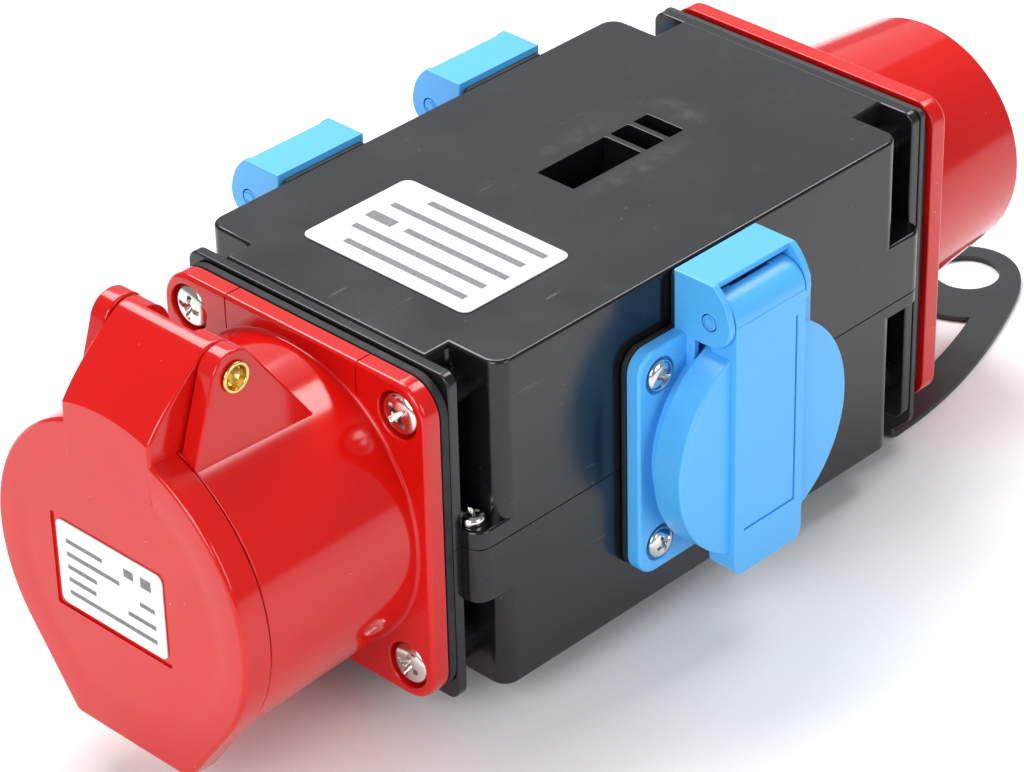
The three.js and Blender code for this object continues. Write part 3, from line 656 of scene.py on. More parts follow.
def outwards(end, a, b):
    """The span along Y from a to b, both measured outwards from the middle."""
    return sorted((end["sign"] * a, end["sign"] * b))


def shell(z0, z1, r0, r1):
    """One half of the enclosure between two heights, with the given edge rounding below and above."""
    outline = rounded_rect(SHELL["half_x"], SHELL["half_y"], SHELL["corner"], steps=12)
    body = slab(outline, z0, z1, "z", r0, r1, 5)
    front, rear = -FRONT["rim"] - 0.2, REAR["rim"] + 0.2
    neck = [(-NECK_X, front), (NECK_X, front), (NECK_X, rear), (-NECK_X, rear)]
    join(body, slab(neck, z0, z1, "z", r0, r1, 5))
    half = block(-60, 60, -80, 80, z0, z1)
    for end in ENDS:
        low, high = end["tab"]
        edges = (0.1, 0.7) if low < z0 else (0.7, 0.1)
        for sx in (-1, 1):
            join(body, slab(notch_fillet(sx, end["sign"]), z0 + r0, z1 - r1 - 0.2, "z"))
            join(body, slab(tab_outline(sx, end), max(low, z0), min(high, z1), "z", *edges))
        rim = rounded_rect(RIM["half_x"], RIM["top"] / 2, 2.6, 0, RIM["top"] / 2)
        rim = slab(rim, *outwards(end, end["rim"], end["face"]), "y", 0.4, 0.4)
        ends = outwards(end, SHELL["half_y"] - 1, end["rim"] + 0.2)
        for spot in FIT_SCREWS:
            join(rim, rod("y", 3.6, *ends, spot, 32))
        join(body, common(rim, mirror(half, "x")))
    bpy.data.objects.remove(half)
    return body


def shell_holes():
    """Everything cut right through the enclosure's walls."""
    tools = []
    for end in ENDS:
        ends = outwards(end, 50, end["face"] + 1)
        tools.append(rod("y", RIM["hole"], *ends, FIT_AXIS, 96))
        tools += [rod("y", 2.2, *ends, spot, 24) for spot in FIT_SCREWS]
    for name, side in SOCKETS.items():
        ends = sorted((side * 34, side * 40))
        y = centre(name + "_insert").y
        tools.append(rod("x", 22.4, *ends, (y, SOCKET_Z), 96))
    for number in range(1, 5):
        place = centre(f"case_screw_{number}")
        low, high = (REAR if place.y > 0 else FRONT)["bore"]
        tools.append(rod("z", 1.7, low, high, (place.x, place.y), 24))
    return tools


CELLS = ((-1, 18.4), (20, 25.2), (26.8, 30.9))
POCKET = {"floor": 60.5, "half_x": 4.85, "well_x": 6.7, "wall": 1.8, "cells": CELLS}


def pocket_cells():
    """The blind pocket in the enclosure's top: three cells in a row, with rolled rims."""
    floor, top, half = POCKET["floor"], SHELL["top"], POCKET["half_x"]
    levels = [(floor, 0.25), (floor + 0.3, 0)]
    levels += [(top - 0.25, 0), (top - 0.07, -0.08), (top, -0.25), (top + 2, -0.25)]
    tools = []
    for y0, y1 in POCKET["cells"]:
        outline = rounded_rect(half, (y1 - y0) / 2, 0.35, 0, (y0 + y1) / 2, 4)
        tools.append(skin([[(u, v, h) for u, v in inset(outline, by)] for h, by in levels]))
    return tools


def pocket_well():
    """The room that the pocket's cells are cut in."""
    wall, x = POCKET["wall"], POCKET["well_x"]
    floor = POCKET["floor"] - wall
    return block(-x, x, CELLS[0][0] - wall, CELLS[-1][1] + wall, floor, SHELL["top"] - 1)


def inner_outline(less, corner, steps=8):
    """The outline of the enclosure's inner wall, less a distance all round."""
    x, y = SHELL["half_x"] - SHELL["wall"] - less, SHELL["half_y"] - SHELL["wall"] - less
    return rounded_rect(x, y, corner, steps=steps)


def seam_lip():
    """The lip behind the seam, left out where the necks open into the rims."""
    seam = SHELL["seam"]
    lip = slab(inner_outline(0.3, 2.4), seam - 5, seam + 2.4)
    cut(lip, slab(inner_outline(1.2, 1.6), seam - 6, seam + 3))
    return cut(lip, block(-25, 25, -70, 70, 0, 60))


def enclosure():
    seam, top, wall = SHELL["seam"], SHELL["top"], SHELL["wall"]
    gap = 0.16
    inner = inner_outline(0, 2.5, 6)
    front, rear = 1 - FRONT["rim"], REAR["rim"] - 1
    doorway = [(-24, front), (24, front), (24, rear), (-24, rear)]
    upper, lower = shell(seam, top, 0.1, 0.75), shell(0, seam - gap, 0.9, 0.1)
    cut(upper, *[slab(room, seam - 2, top - wall) for room in (inner, doorway)])
    cut(lower, *[slab(room, wall, seam + 2) for room in (inner, doorway)])
    cut(join(upper, pocket_well()), *pocket_cells())
    join(lower, seam_lip())
    for name, body in (("upper_shell", upper), ("lower_shell", lower)):
        cut(body, *shell_holes())
        finish(body, name + "_moulding", BODY, "black_plastic", BLACK, name)


# ---- Screws ----
def pan_screw(head_r, head_h, shank_r, length, cross):
    """A pan head along +Z on its seat at z = 0, with a tapered cross recess."""
    dome = [(0, -length), (shank_r * 0.3, -length), (shank_r, -length + 1), (shank_r, 0)]
    dome += [(head_r, 0, 0.12), (head_r, head_h * 0.36, 0.25)]
    for i in range(1, 9):
        a = math.pi / 2 * i / 9
        dome.append((head_r * math.cos(a) ** 0.8, head_h * (0.42 + 0.58 * math.sin(a))))
    dome.append((0, head_h))
    body = lathe(dome, "z", (0, 0), 48)
    depth = head_h * 0.85
    # Height, and the shares of the recess's length and width there.
    levels = [(head_h + 0.5, 1.0, 1.0), (head_h, 0.97, 0.95)]
    levels += [(head_h - depth * 0.6, 0.62, 0.8), (head_h - depth, 0.3, 0.55)]
    for across in (0, 90):
        rings = []
        for z, long, wide in levels:
            u, v = cross * long, cross * 0.2 * wide
            rings.append([(p[0], p[1], z) for p in rounded_rect(u, v, v * 0.6, steps=3)])
        cut(body, move(skin(rings), turn=across))
    middle = [(0, head_h + 1), (cross * 0.46, head_h + 1), (cross * 0.4, head_h - 0.3)]
    middle.append((0, head_h - depth - 0.2))
    return cut(body, lathe(middle, "z", (0, 0), 24))


def screw_matrix(spot, direction, spin):
    """Stands a screw at a spot in millimetres, with its head looking along `direction`."""
    turn = Vector(direction).to_track_quat("Z", "Y").to_matrix().to_4x4()
    return Matrix.Translation(spot * MM) @ turn @ Matrix.Rotation(math.radians(spin), 4, "Z")


def place_screws(label, size, nodes, direction, spin):
    """Copies of one screw, each on its CAD screw's axis, turned `spin` degrees more each time.

    `direction` is the way the heads look. The second number of `size` is the head's height.
    """
    base = None
    axis = max(range(3), key=lambda k: abs(direction[k]))
    for i, node in enumerate(nodes):
        low, high = extent(node)
        spot = (low + high) / 2
        spot[axis] = (high if direction[axis] > 0 else low)[axis] - direction[axis] * size[1]
        placed = screw_matrix(spot, direction, spin * (i + 1))
        name = f"{label}_{i + 1}"
        made = pan_screw(*size) if base is None else copies(base, name)
        base = base or made
        finish(made, name, BODY, "plated_steel", STEEL, node, placed=placed)
    return base


# ---- Five-pole fittings ----
EAR = {"inner": 12.1, "outer": 16.5, "radius": 5.25, "base_z": 60.0, "rear": -78.6, "front_z": 66.8}
BARREL = {"rear_r": 32.2, "front_r": 33.6, "foot": 0.7, "bore": 27.5, "floor": -71.8}
PIN_BORE = 2.75


def flange(y0, y1, front, corner):
    """A square flange whose front edge is rounded. `front` is -1 or 1, the way its face looks."""
    r0, r1 = (1.0, 0.3) if front < 0 else (0.3, 1.0)
    return slab(rounded_rect(FIT_HALF, FIT_HALF, corner, *FIT_AXIS, 10), y0, y1, "y", r0, r1, 5)


def fixing_holes(face, back, seat):
    return [hole_tool("y", SHANK_HOLE, 4.9, seat, face, back, spot) for spot in FIT_SCREWS]


def shank_holes(low, high):
    """Plain holes for the flange screws' shanks, through a sheet."""
    return [rod("y", SHANK_HOLE, low, high, spot, 24) for spot in FIT_SCREWS]


def hinge_bore():
    return rod("x", PIN_BORE, -20, 20, HINGE_AXIS, 48)


def ear_outline():
    base_z, front, rear = EAR["base_z"], OUTLET_LOW.y, EAR["rear"]
    top = arc(*HINGE_AXIS, EAR["radius"], 46, 167, 20)
    return [(front, base_z), (rear, base_z), *top, (front, EAR["front_z"])]


def pad_grooves(face):
    """Fine lines on the outlet flange's face and over its top edge, on both sides of the barrel."""
    offset, half, depth, length = 17.5, 0.17, 0.3, 5
    top = FIT_Z + FIT_HALF
    tools = []
    for x in (-offset, offset):
        tools.append(block(x - half, x + half, face - 1, face + depth, FIT_Z + 25, top + 1))
        tools.append(block(x - half, x + half, face - 1, face + length, top - 0.25, top + 1))
    return tools


def outlet_housing():
    face, back, front = -72.5, OUTLET_HIGH.y, OUTLET_LOW.y
    rear_r, foot, floor = BARREL["rear_r"], BARREL["foot"], BARREL["floor"]
    barrel = [(0, front), (BARREL["front_r"], front, 0.35), (rear_r, face - foot)]
    for a in quarter(6)[1:]:
        barrel.append((rear_r + foot * (1 - math.cos(a)), face - foot + foot * math.sin(a)))
    barrel += [(rear_r + foot, face + 1), (0, face + 1)]
    body = flange(face, back, -1, OUTLET_CORNER)
    cut(body, *pad_grooves(face))
    join(body, lathe(barrel, "y", FIT_AXIS, 160))
    ear = slab(ear_outline(), EAR["inner"], EAR["outer"], "x", 0.55, 0.55)
    join(body, mirror(ear, "x"), ear)
    cut(
        body,
        rod("y", BARREL["bore"], front - 1, floor, FIT_AXIS, 128),
        rod("y", 23.0, -80, back + 1, FIT_AXIS, 96),
        block(-4.3, 4.3, front - 1, -76, FIT_Z - 29.9, FIT_Z - 25.5),
        hinge_bore(),
        *fixing_holes(face, back + 1, face + SEAT_DEPTH),
    )
    finish(body, "outlet_body", BODY, "red_plastic", RED, "outlet_housing")


LID = {
    "radius": 33.8, "foot": 15.6, "corner": 2.2, "back": -111.1,
    "hollow": 31.4, "hollow_floor": -115.2,
}
NECK = {"half": 11.8, "face_radius": 37.4, "barrel": 5.1, "foot": -107.0, "control": (-112.6, 79.2)}


def lid_outline():
    """The lid's round, with two straight sides that run down from it to a flat foot."""
    r, foot_u, foot_v = LID["radius"], LID["foot"], LID_LOW.z - FIT_Z
    lean = math.atan2(foot_v, foot_u) + math.acos(r / math.hypot(foot_u, foot_v))
    lean = math.degrees(lean)
    round_part = arc(*FIT_AXIS, r, lean, 180 - lean, 120)
    foot = [(-foot_u, FIT_Z + foot_v), (foot_u, FIT_Z + foot_v)]
    return fillet(foot + round_part, [LID["corner"]] * 2 + [0] * len(round_part), 8)


def lid_neck():
    """The arm between the lid's face and its hinge barrel.

    Its scooped front starts at an arc round the lid's centre.
    """
    half, foot, face = NECK["half"], NECK["foot"], LID_LOW.y
    # Distance in from each side, and how far the outline is drawn in there.
    edge = [(0, 0.7), (0.06, 0.45), (0.2, 0.2), (0.41, 0.06), (0.7, 0)]
    sections = [(-half + d, by) for d, by in edge]
    sections += [(-half + 0.7 + (2 * half - 1.4) * i / 16, 0) for i in range(1, 16)]
    sections += [(half - d, by) for d, by in reversed(edge)]
    tip = arc(*HINGE_AXIS, NECK["barrel"], -90, 130, 30)
    rings = []
    for x, by in sections:
        start = FIT_Z + math.sqrt(NECK["face_radius"] ** 2 - x * x)
        scoop = quadratic(tip[-1], NECK["control"], (face, start), 16)
        outline = [(foot, 60), (foot, 72), (-104.6, 76.4), *tip, *scoop, (face, 60)]
        outline = outline[::-1] if area(outline) < 0 else outline
        rings.append([(x, u, v) for u, v in inset(outline, by)])
    return cut(skin(rings), rod("y", 34.0, LID["back"], foot + 1, FIT_AXIS, 160))


LABEL = {"half_x": 14.6, "half_z": 9.3, "bar": 0.45}


def lid_body():
    """The lid's cap, with a very shallow dish in its face."""
    face, dish = LID_LOW.y, 0.22
    outline = lid_outline()
    rings = []
    for h, by in round_levels(face, LID["back"], 1.0, 0.3, 6):
        rings.append([(u, h, v) for u, v in inset(outline, by)])
    first = inset(outline, 1.0)
    for i in range(7):
        share = 0.93 - 0.03 * i
        drop = dish * (1 - math.cos(math.pi * i / 6)) / 2
        rings.insert(0, [(u * share, face + drop, FIT_Z + (v - FIT_Z) * share) for u, v in first])
    return skin(rings)


def outlet_lid():
    face, y, z, room = LID_LOW.y, HINGE.y, HINGE.z, 6.3
    middle = centre("outlet_label")
    at = (middle.x, middle.z)
    seat = rounded_rect(LABEL["half_x"] + 1.2, LABEL["half_z"] + 1.1, 0.5, *at, 4)
    body = join(lid_body(), lid_neck())
    cut(
        body,
        rod("y", LID["hollow"], LID["hollow_floor"], LID["back"] + 1, FIT_AXIS, 128, 0.6),
        hinge_bore(),
        join(rod("x", 4.1, -room, room, HINGE_AXIS, 48), block(-room, room, y, y + 8, z - 7, z + 7)),
        slab(seat, face - 1, face + 0.65, "y"),
    )
    finish(body, "outlet_lid_moulding", "outlet_lid", "red_plastic", RED, "outlet_lid")
    outlet_label(middle, at)
    back, front, tip, inner, outer = LID["hollow_floor"] + 0.3, -113.0, -111.25, 27.9, 31.0
    seal = [(inner, back, 0.3), (outer, back, 0.3), (outer, front, 0.3)]
    seal += [(29.8, tip, 0.35), (inner, front, 0.3)]
    ring = lathe(seal, "y", FIT_AXIS, 128, True)
    finish(ring, "outlet_lid_ring", "outlet_lid", "rubber_seal", RUBBER, "outlet_lid_seal")


def outlet_label(middle, at):
    low, high = extent("outlet_label")
    bar = LABEL["bar"]
    rows = [(5.2, -12, -2, bar), (2.3, -12, 2.5, bar), (-0.6, -12, -4, bar)]
    rows += [(-3.4, -12, -4.5, bar), (-6.3, -12, 12, bar), (5.6, 4, 6.6, 0.9)]
    rows += [(5.6, 8.6, 11.4, 1.1), (0.4, 8, 12, bar), (-3.2, 4.5, 12, bar)]
    film = label_film("lid_label_film", tuple(middle), rows, (1, 0, 0), (0, 0, 1))
    plate = rounded_rect(LABEL["half_x"], LABEL["half_z"], 1.6, *at, 8)
    label = slab(plate, low.y, high.y, "y", 0.08, 0)
    finish(label, "outlet_lid_film", "outlet_lid", "label_film", film, "outlet_label")


def eyelet():
    """The brass tube rivet that the outlet's lid turns on."""
    end = extent("outlet_hinge_pin")[1].x
    half = [(2.5, end - 0.6), (3.1, end - 0.6, 0.1), (3.1, end, 0.3)]
    half += [(2.35, end, 0.3), (2.2, end - 1.6, 0.4), (0.9, end - 3.4)]
    profile = half + [(p[0], -p[1], *p[2:]) for p in reversed(half)]
    body = lathe(profile, "x", HINGE_AXIS, 64, True)
    finish(body, "outlet_rivet", BODY, "contact_brass", BRASS, "outlet_hinge_pin")


def coil(coil_r, wire_r, half, turns, leg):
    """A torsion spring about the X axis, with one straight leg along +Y under the coil."""
    y, z = leg
    points = [(half, y, z), (half, y * 0.6, z * 0.5 - coil_r * 0.5), (half, y * 0.2, -coil_r)]
    steps = turns * 28
    for i in range(1, steps + 1):
        a = -math.pi / 2 - i / steps * turns * 2 * math.pi
        points.append((half - 2 * half * i / steps, math.cos(a) * coil_r, math.sin(a) * coil_r))
    return sweep(points, wire_r, 10)


def outlet_spring():
    body = move(coil(3.35, 0.36, 5, 5, (10.5, -8.8)), 0, HINGE.y, HINGE.z)
    finish(body, "outlet_spring", BODY, "plated_steel", STEEL, "outlet_lid_spring")


def gaskets():
    """The two flange gaskets. The inlet's stands a little inside its flange's outline."""
    inset_gasket = FIT_HALF - 1.3
    sizes = {"outlet_gasket": (FIT_HALF, OUTLET_CORNER), "inlet_gasket": (inset_gasket, INLET_CORNER)}
    for name, (half, corner) in sizes.items():
        low, high = [place.y for place in extent(name)]
        body = slab(rounded_rect(half, half, corner, *FIT_AXIS, 10), low, high, "y", 0.25, 0.25)
        cut(body, rod("y", RIM["hole"], low - 1, high + 1, FIT_AXIS, 96))
        cut(body, *shank_holes(low - 1, high + 1))
        finish(body, name + "_sheet", BODY, "rubber_seal", RUBBER, name)


POLE_CIRCLE = 16.5


def poles():
    """(x, z, pin radius) of each pole. Earth is at the bottom."""
    made = []
    for i in range(5):
        a = -math.pi / 2 + i * 2 * math.pi / 5
        pin = 3.0 if i == 0 else 2.5
        made.append((POLE_CIRCLE * math.cos(a), FIT_Z + POLE_CIRCLE * math.sin(a), pin))
    return made


def contact_carrier():
    low, high = extent("outlet_contact_carrier")
    r, collar_r, front, back = 22.5, 24, low.y, high.y
    collar = OUTLET_HIGH.y + 0.3
    profile = [(0, front), (r, front, 0.6), (r, collar), (collar_r, collar, 0.3)]
    profile += [(collar_r, collar + 3, 0.3), (r, collar + 3), (r, back), (0, back)]
    body = lathe(profile, "y", FIT_AXIS, 96)
    for x, z, pin in poles():
        cut(body, rod("y", 3.7, front + 1.7, back + 1, (x, z), 32))
        cut(body, hole_tool("y", 0.5, pin + 0.5, front + 1.6, front, front + 3, (x, z), 0.45, 32))
    finish(body, "outlet_contact_block", BODY, "insert_plastic", INSERT, "outlet_contact_carrier")


INLET_FACE = 77.0
SHROUD = {"outer": 26.2, "bore": 23.6, "floor": 80, "foot": 32.6, "root": 28.8, "run": 8.0}
KEY = {"half": 4, "proud": 2.1}


def inlet():
    flange_back, face, end = INLET_LOW.y, INLET_FACE, INLET_HIGH.y
    outer, bore, floor = SHROUD["outer"], SHROUD["bore"], SHROUD["floor"]
    foot_r, root_r, run = SHROUD["foot"], SHROUD["root"], SHROUD["run"]
    body = flange(flange_back, face, 1, INLET_CORNER)
    profile = [(0, face - 1), (foot_r, face - 1)]
    for a in quarter(14):
        r = root_r + (foot_r - root_r) * (1 - math.sin(a))
        profile.append((r, face - 0.3 + (run + 0.3) * (1 - math.cos(a))))
    profile += [(outer, end, 0.8), (0, end)]
    join(body, lathe(profile, "y", FIT_AXIS, 160))
    half, low, high = KEY["half"], FIT_Z - outer - KEY["proud"], FIT_Z - outer + 1
    key = fillet([(-half, low), (half, low), (half, high), (-half, high)], [0.8, 0.8, 0, 0], 4)
    join(body, slab(key, face, end - 0.8, "y", 0, 0.5))
    mouth = [(0, floor), (bore, floor, 0.5), (bore, end - 0.9), (bore + 0.25, end - 0.35)]
    mouth += [(bore + 0.9, end), (bore + 0.9, end + 2), (0, end + 2)]
    cut(
        body,
        rod("y", 23.1, flange_back - 1, face + 0.1, FIT_AXIS, 96),
        rod("y", 21.1, face, floor + 1, FIT_AXIS, 96),
        lathe(mouth, "y", FIT_AXIS, 128),
        *fixing_holes(face, flange_back - 1, face - SEAT_DEPTH),
    )
    finish(body, "inlet_body", BODY, "red_plastic", RED, "inlet_housing")


def inlet_pins():
    low, high = extent("inlet_pin_carrier")
    step, wide, narrow = INLET_FACE - 0.2, 22.6, 20.6
    profile = [(0, low.y), (wide, low.y), (wide, step, 0.3), (narrow, step)]
    profile += [(narrow, high.y, 0.6), (0, high.y)]
    body = lathe(profile, "y", FIT_AXIS, 96)
    for x, z, pin in poles():
        cut(body, rod("y", pin + 0.3, low.y - 1, high.y + 1, (x, z), 32))
    finish(body, "inlet_pin_block", BODY, "insert_plastic", INSERT, "inlet_pin_carrier")
    for i, (x, z, r) in enumerate(poles()):
        node = f"inlet_pin_{i + 1}"
        low, high = [place.y for place in extent(node)]
        foot = low + 4.7
        shape = [(0, low), (r + 1, low, 0.3), (r + 1, foot), (r, foot)]
        shape += [(r, high - 1.6, 0.6), (r - 1.1, high, 0.5), (0, high)]
        pin, name = lathe(shape, "y", (x, z), 48), f"inlet_pin_round_{i + 1}"
        finish(pin, name, BODY, "contact_brass", BRASS, node)


# ---- Hanging bracket ----
BRACKET = {
    "sheet": 1.3, "root": 30, "bend": 2.2, "edge": 0.2,
    "hole_y": 132.5, "hole_r": 7.35, "eye_r": 19.5,
}
SHOULDER = (15.9, 129.5)  # where the loop's long side meets its nose


def loop_outline():
    root, start = BRACKET["root"], BRACKET_LOW.y + BRACKET["bend"]
    tip = BRACKET_HIGH.y
    right = bezier((root, start), (29.9, 88), (25.5, 107), SHOULDER)
    right += bezier(SHOULDER, (13.1, 136), (8, tip), (0, tip), 12)[1:]
    return right + [(-x, y) for x, y in reversed(right[:-1])]


def loop_opening():
    """The opening between the upright and the hole: its far side runs round the hole's eye."""
    eye, foot_x, root_x, root_y = BRACKET["eye_r"], 12.6, 21, 74
    spread = math.degrees(math.asin(foot_x / eye))
    foot_y = BRACKET["hole_y"] - math.cos(math.radians(spread)) * eye
    side = bezier((root_x, root_y), (20.8, 90), (17, 106), (foot_x, foot_y))
    top = arc(0, BRACKET["hole_y"], eye, -90 + spread, -90 - spread, 16)[::-1]
    left = [(-x, y) for x, y in side[1:]]
    return [(root_x, root_y), (-root_x, root_y), *left, *top[1:-1], *side[:0:-1]]


def knee_outline(y0, z0):
    """The section of the bend, between the upright and the loop."""
    sheet, bend = BRACKET["sheet"], BRACKET["bend"]
    y, z, top = y0 + bend, z0 + bend, z0 + bend + 4
    outer = [(y0, z), *arc(y, z, bend, 180, 270, 8), (y + 0.5, z0)]
    inner = [(y + 0.5, z0 + sheet), *arc(y, z, bend - sheet, 270, 180, 8), (y0 + sheet, z)]
    return [*outer, *inner, (y0 + sheet, top), (y0, top)]


def bracket():
    z0, y0, top_z, half = BRACKET_LOW.z, BRACKET_LOW.y, BRACKET_HIGH.z, BRACKET_HIGH.x
    sheet, root, edge = BRACKET["sheet"], BRACKET["root"], BRACKET["edge"]
    leg = slab(loop_outline(), z0, z0 + sheet, "z", edge, edge, 3)
    hole = rod("z", BRACKET["hole_r"], z0 - 1, z0 + sheet + 1, (0, BRACKET["hole_y"]), 64)
    cut(leg, slab(loop_opening(), z0 - 1, z0 + sheet + 1), hole)
    knee = slab(knee_outline(y0, z0), -root, root, "x", edge, edge, 3)
    base, flare = z0 + BRACKET["bend"] + 0.5, z0 + 7
    plate = [(-root, base), (root, base), (half, flare), (half, top_z), (-half, top_z), (-half, flare)]
    plate = fillet(plate, [0, 0, 3, 1.5, 1.5, 3], 6)
    body = join(slab(plate, y0, y0 + sheet, "y", edge, edge, 3), knee, leg)
    cut(body, rod("y", RIM["hole"], y0 - 1, y0 + 3, FIT_AXIS, 96), *shank_holes(y0 - 1, y0 + 3))
    finish(body, "bracket_sheet", BODY, "bracket_paint", PAINT, "hanging_bracket")


# ---- Side sockets, in their own frame: +X points out from the wall, z = 0 on the socket's axis ----
# The flange, the shoulder at the hood's foot, the ring round the cup, and the cup with its insert.
SOCKET = {
    "half": 25, "corner": 4.5, "flange_back": 1.7, "flange": 4.9, "shoulder": 6.8,
    "ring": 8.6, "bore": 19.6, "cup": 21.5, "cup_back": -18.7, "insert": -8.9, "clip_z": 17.4,
}
# The lid's pin and barrel, and the hood over them.
PIVOT = {
    "x": 10.5, "z": 29.5, "barrel": 5.4, "cheek": 5.3, "cheek_in": 10.2, "cheek_out": 11.7,
    "top": 37.7, "front": 11.5, "base": 14,
}
PIVOT_AXIS = (PIVOT["x"], PIVOT["z"])
# The lid's disc and the strap down its middle.
FLAP = {
    "radius": 24.2, "back": 7.7, "face": 14.6,
    "strap": 16.0, "half": 9.9, "bottom": -28.0, "lip_back": 9.3, "corner": 4.2,
}


def cheek_outline():
    """A cheek's side view, (x, z): a round nose about the pin, and a curve up to the roof's front."""
    x, z, top, r = PIVOT["x"], PIVOT["z"], PIVOT["top"], PIVOT["cheek"]
    back, base, step = SOCKET["flange_back"], PIVOT["base"], SOCKET["shoulder"]
    nose = arc(x, z, r, -90, 18, 16)
    curve = quadratic(nose[-1], (x + r - 0.9, z + 5.4), (PIVOT["front"], top), 12)
    return [(back, base), (step, base), (step, z - r), *nose, *curve, (back, top)]


def hood():
    """The hood over the lid's barrel: two cheeks, a spine against the wall and a roof."""
    out, top, back, front = PIVOT["cheek_out"], PIVOT["top"], SOCKET["flange_back"], PIVOT["front"]
    cheek = slab(cheek_outline(), PIVOT["cheek_in"], out, "y", 0.2, 0.35)
    spine = [(back, PIVOT["base"]), (4.2, PIVOT["base"]), (4.2, top), (back, top)]
    roof = [(back, top - 1.5), (front - 0.5, top - 1.5), (front - 0.2, top), (back, top)]
    roof = slab(fillet(roof, [0, 0.3, 0.3, 0], 4), -out, out, "y", 0.3, 0.3)
    return mirror(cheek, "y"), cheek, slab(spine, -out, out, "y", 0.35, 0.35), roof


def socket_sheet(h0, h1, r0, r1):
    """The socket's square flange outline, between two heights from the wall."""
    outline = rounded_rect(SOCKET["half"], SOCKET["half"], SOCKET["corner"])
    return slab(outline, h0, h1, "x", r0, r1)


def socket_housing():
    face, ring, cup, cup_back = [SOCKET[key] for key in ("flange", "ring", "cup", "cup_back")]
    body = socket_sheet(SOCKET["flange_back"], face, 0.25, 0.7)
    profile = [(0, cup_back), (cup, cup_back, 0.8), (cup, ring, 0.3), (0, ring)]
    join(body, lathe(profile, "x", (0, 0), 128))
    join(body, *hood())
    return cut(
        body,
        rod("x", SOCKET["bore"], ring - 21.5, ring + 1, (0, 0), 128),
        rod("x", 9, cup_back - 1, cup_back + 9),
        rod("y", 1.9, -20, 20, PIVOT_AXIS, 32),
        *[hole_tool("x", 1.9, 3.9, face - 1.1, face, 0, spot, 0.3, 40) for spot in SOCKET_SCREWS],
    )


def lid_strap():
    """The raised strap down the middle of a blue lid, with round corners at its foot."""
    half, face, back, low = FLAP["half"], FLAP["strap"], FLAP["lip_back"], FLAP["bottom"]
    x, z = PIVOT_AXIS
    side = [(back, low + 2), (face - 1, low), (face, low + 1), (face, z), (x, z), (back, z - 4)]
    strap = slab(fillet(side, [0.5, 0.8, 0.6, 0, 0, 0.4], 4), -half, half, "y", 0.3, 0.3)
    front = [(-half, low), (half, low), (half, 40), (-half, 40)]
    return common(strap, slab(fillet(front, [FLAP["corner"]] * 2 + [0, 0], 10), 0, 20, "x"))


def strap_lines():
    """Two fine lines sunk in the strap's face, that meet in an L."""
    face, wide, across, foot, high = FLAP["strap"], 0.3, 7.3, -17.0, 24.8
    upright = block(face - 0.4, face + 1, across - wide, across + wide, foot - wide, high)
    return join(upright, block(face - 0.4, face + 1, -across, across, foot - wide, foot + wide))


def socket_lid():
    back, face, r, half = FLAP["back"], FLAP["face"], FLAP["radius"], FLAP["half"]
    barrel_r, room, (x, z) = PIVOT["barrel"], 5.6, PIVOT_AXIS
    disc = lathe([(0, back), (r, back, 0.3), (r, face, 0.55), (0, face)], "x", (0, 0), 160)
    barrel = [(0, -half), (barrel_r, -half, 0.3), (barrel_r, half, 0.3), (0, half)]
    body = join(disc, lid_strap(), lathe(barrel, "y", PIVOT_AXIS, 64))
    return cut(
        body,
        rod("x", 22.4, back - 1, face - 1.8, (0, 0), 128, 0.5),
        rod("y", 1.95, -20, 20, PIVOT_AXIS, 32),
        join(rod("y", 3.7, -room, room, PIVOT_AXIS, 40), block(x - 8, x, -room, room, z - 5, z + 7)),
        block(x - 8, x - 0.6, -9.2, 9.2, z + 2.7, z + 7),
        strap_lines(),
    )


def socket_pin():
    """The lid's pin: plain, with a split ring mark on each end face."""
    end, (x, z) = PIVOT["cheek_out"], PIVOT_AXIS
    body = rod("y", 1.6, -end, end, PIVOT_AXIS, 48, 0.15)
    for low, high in ((-end - 1, 0.2 - end), (end - 0.2, end + 1)):
        ring = cut(rod("y", 1.25, low, high, PIVOT_AXIS), rod("y", 0.95, low - 1, high + 1, PIVOT_AXIS))
        cut(body, cut(ring, block(x, x + 3, -20, 20, z - 0.6, z + 0.6)))
    return body


def socket_gasket():
    """The gasket under the flange, with a tab that runs up behind the hood."""
    low, high = 0.3, SOCKET["flange_back"] - 0.3
    tab = fillet([(-11, 20), (11, 20), (11, 36.5), (-11, 36.5)], [0, 0, 1, 1], 5)
    body = join(socket_sheet(low, high, 0.2, 0.2), slab(tab, low, high, "x", 0.2, 0.2))
    cut(body, rod("x", 22.1, low - 1, high + 1, (0, 0), 96))
    return cut(body, *[rod("x", 1.9, low - 1, high + 1, spot, 24) for spot in SOCKET_SCREWS])


def socket_insert():
    """The insert at the cup's back, with its two pin holes and the earth clips' slots."""
    low, high = SOCKET["insert"] - 3.7, SOCKET["insert"]
    body = rod("x", 19.2, low, high, (0, 0), 96, 0.4)
    for y in (-9.5, 9.5):
        cut(body, hole_tool("x", 2.4, 2.6, high - 0.4, high, low - 1, (y, 0), 0.5, 32))
    for z in (-SOCKET["clip_z"], SOCKET["clip_z"]):
        cut(body, block(low - 1, high + 1, -3, 3, z - 1, z + 1))
    return body


def earth_clip(side):
    """One sprung earth clip, standing on the insert beside the cup's wall."""
    face, z, half = SOCKET["insert"], side * SOCKET["clip_z"], 0.4
    bend, tip = z - side * 1.6, z + side * 0.3
    lean = [(face - 3, z - half), (face - 3, z + half), (face + 9, bend + half)]
    lean += [(face + 12.4, tip + half), (face + 12.4, tip - half), (face + 9, bend - half)]
    return slab(lean, -2.2, 2.2, "y", 0.15, 0.15)


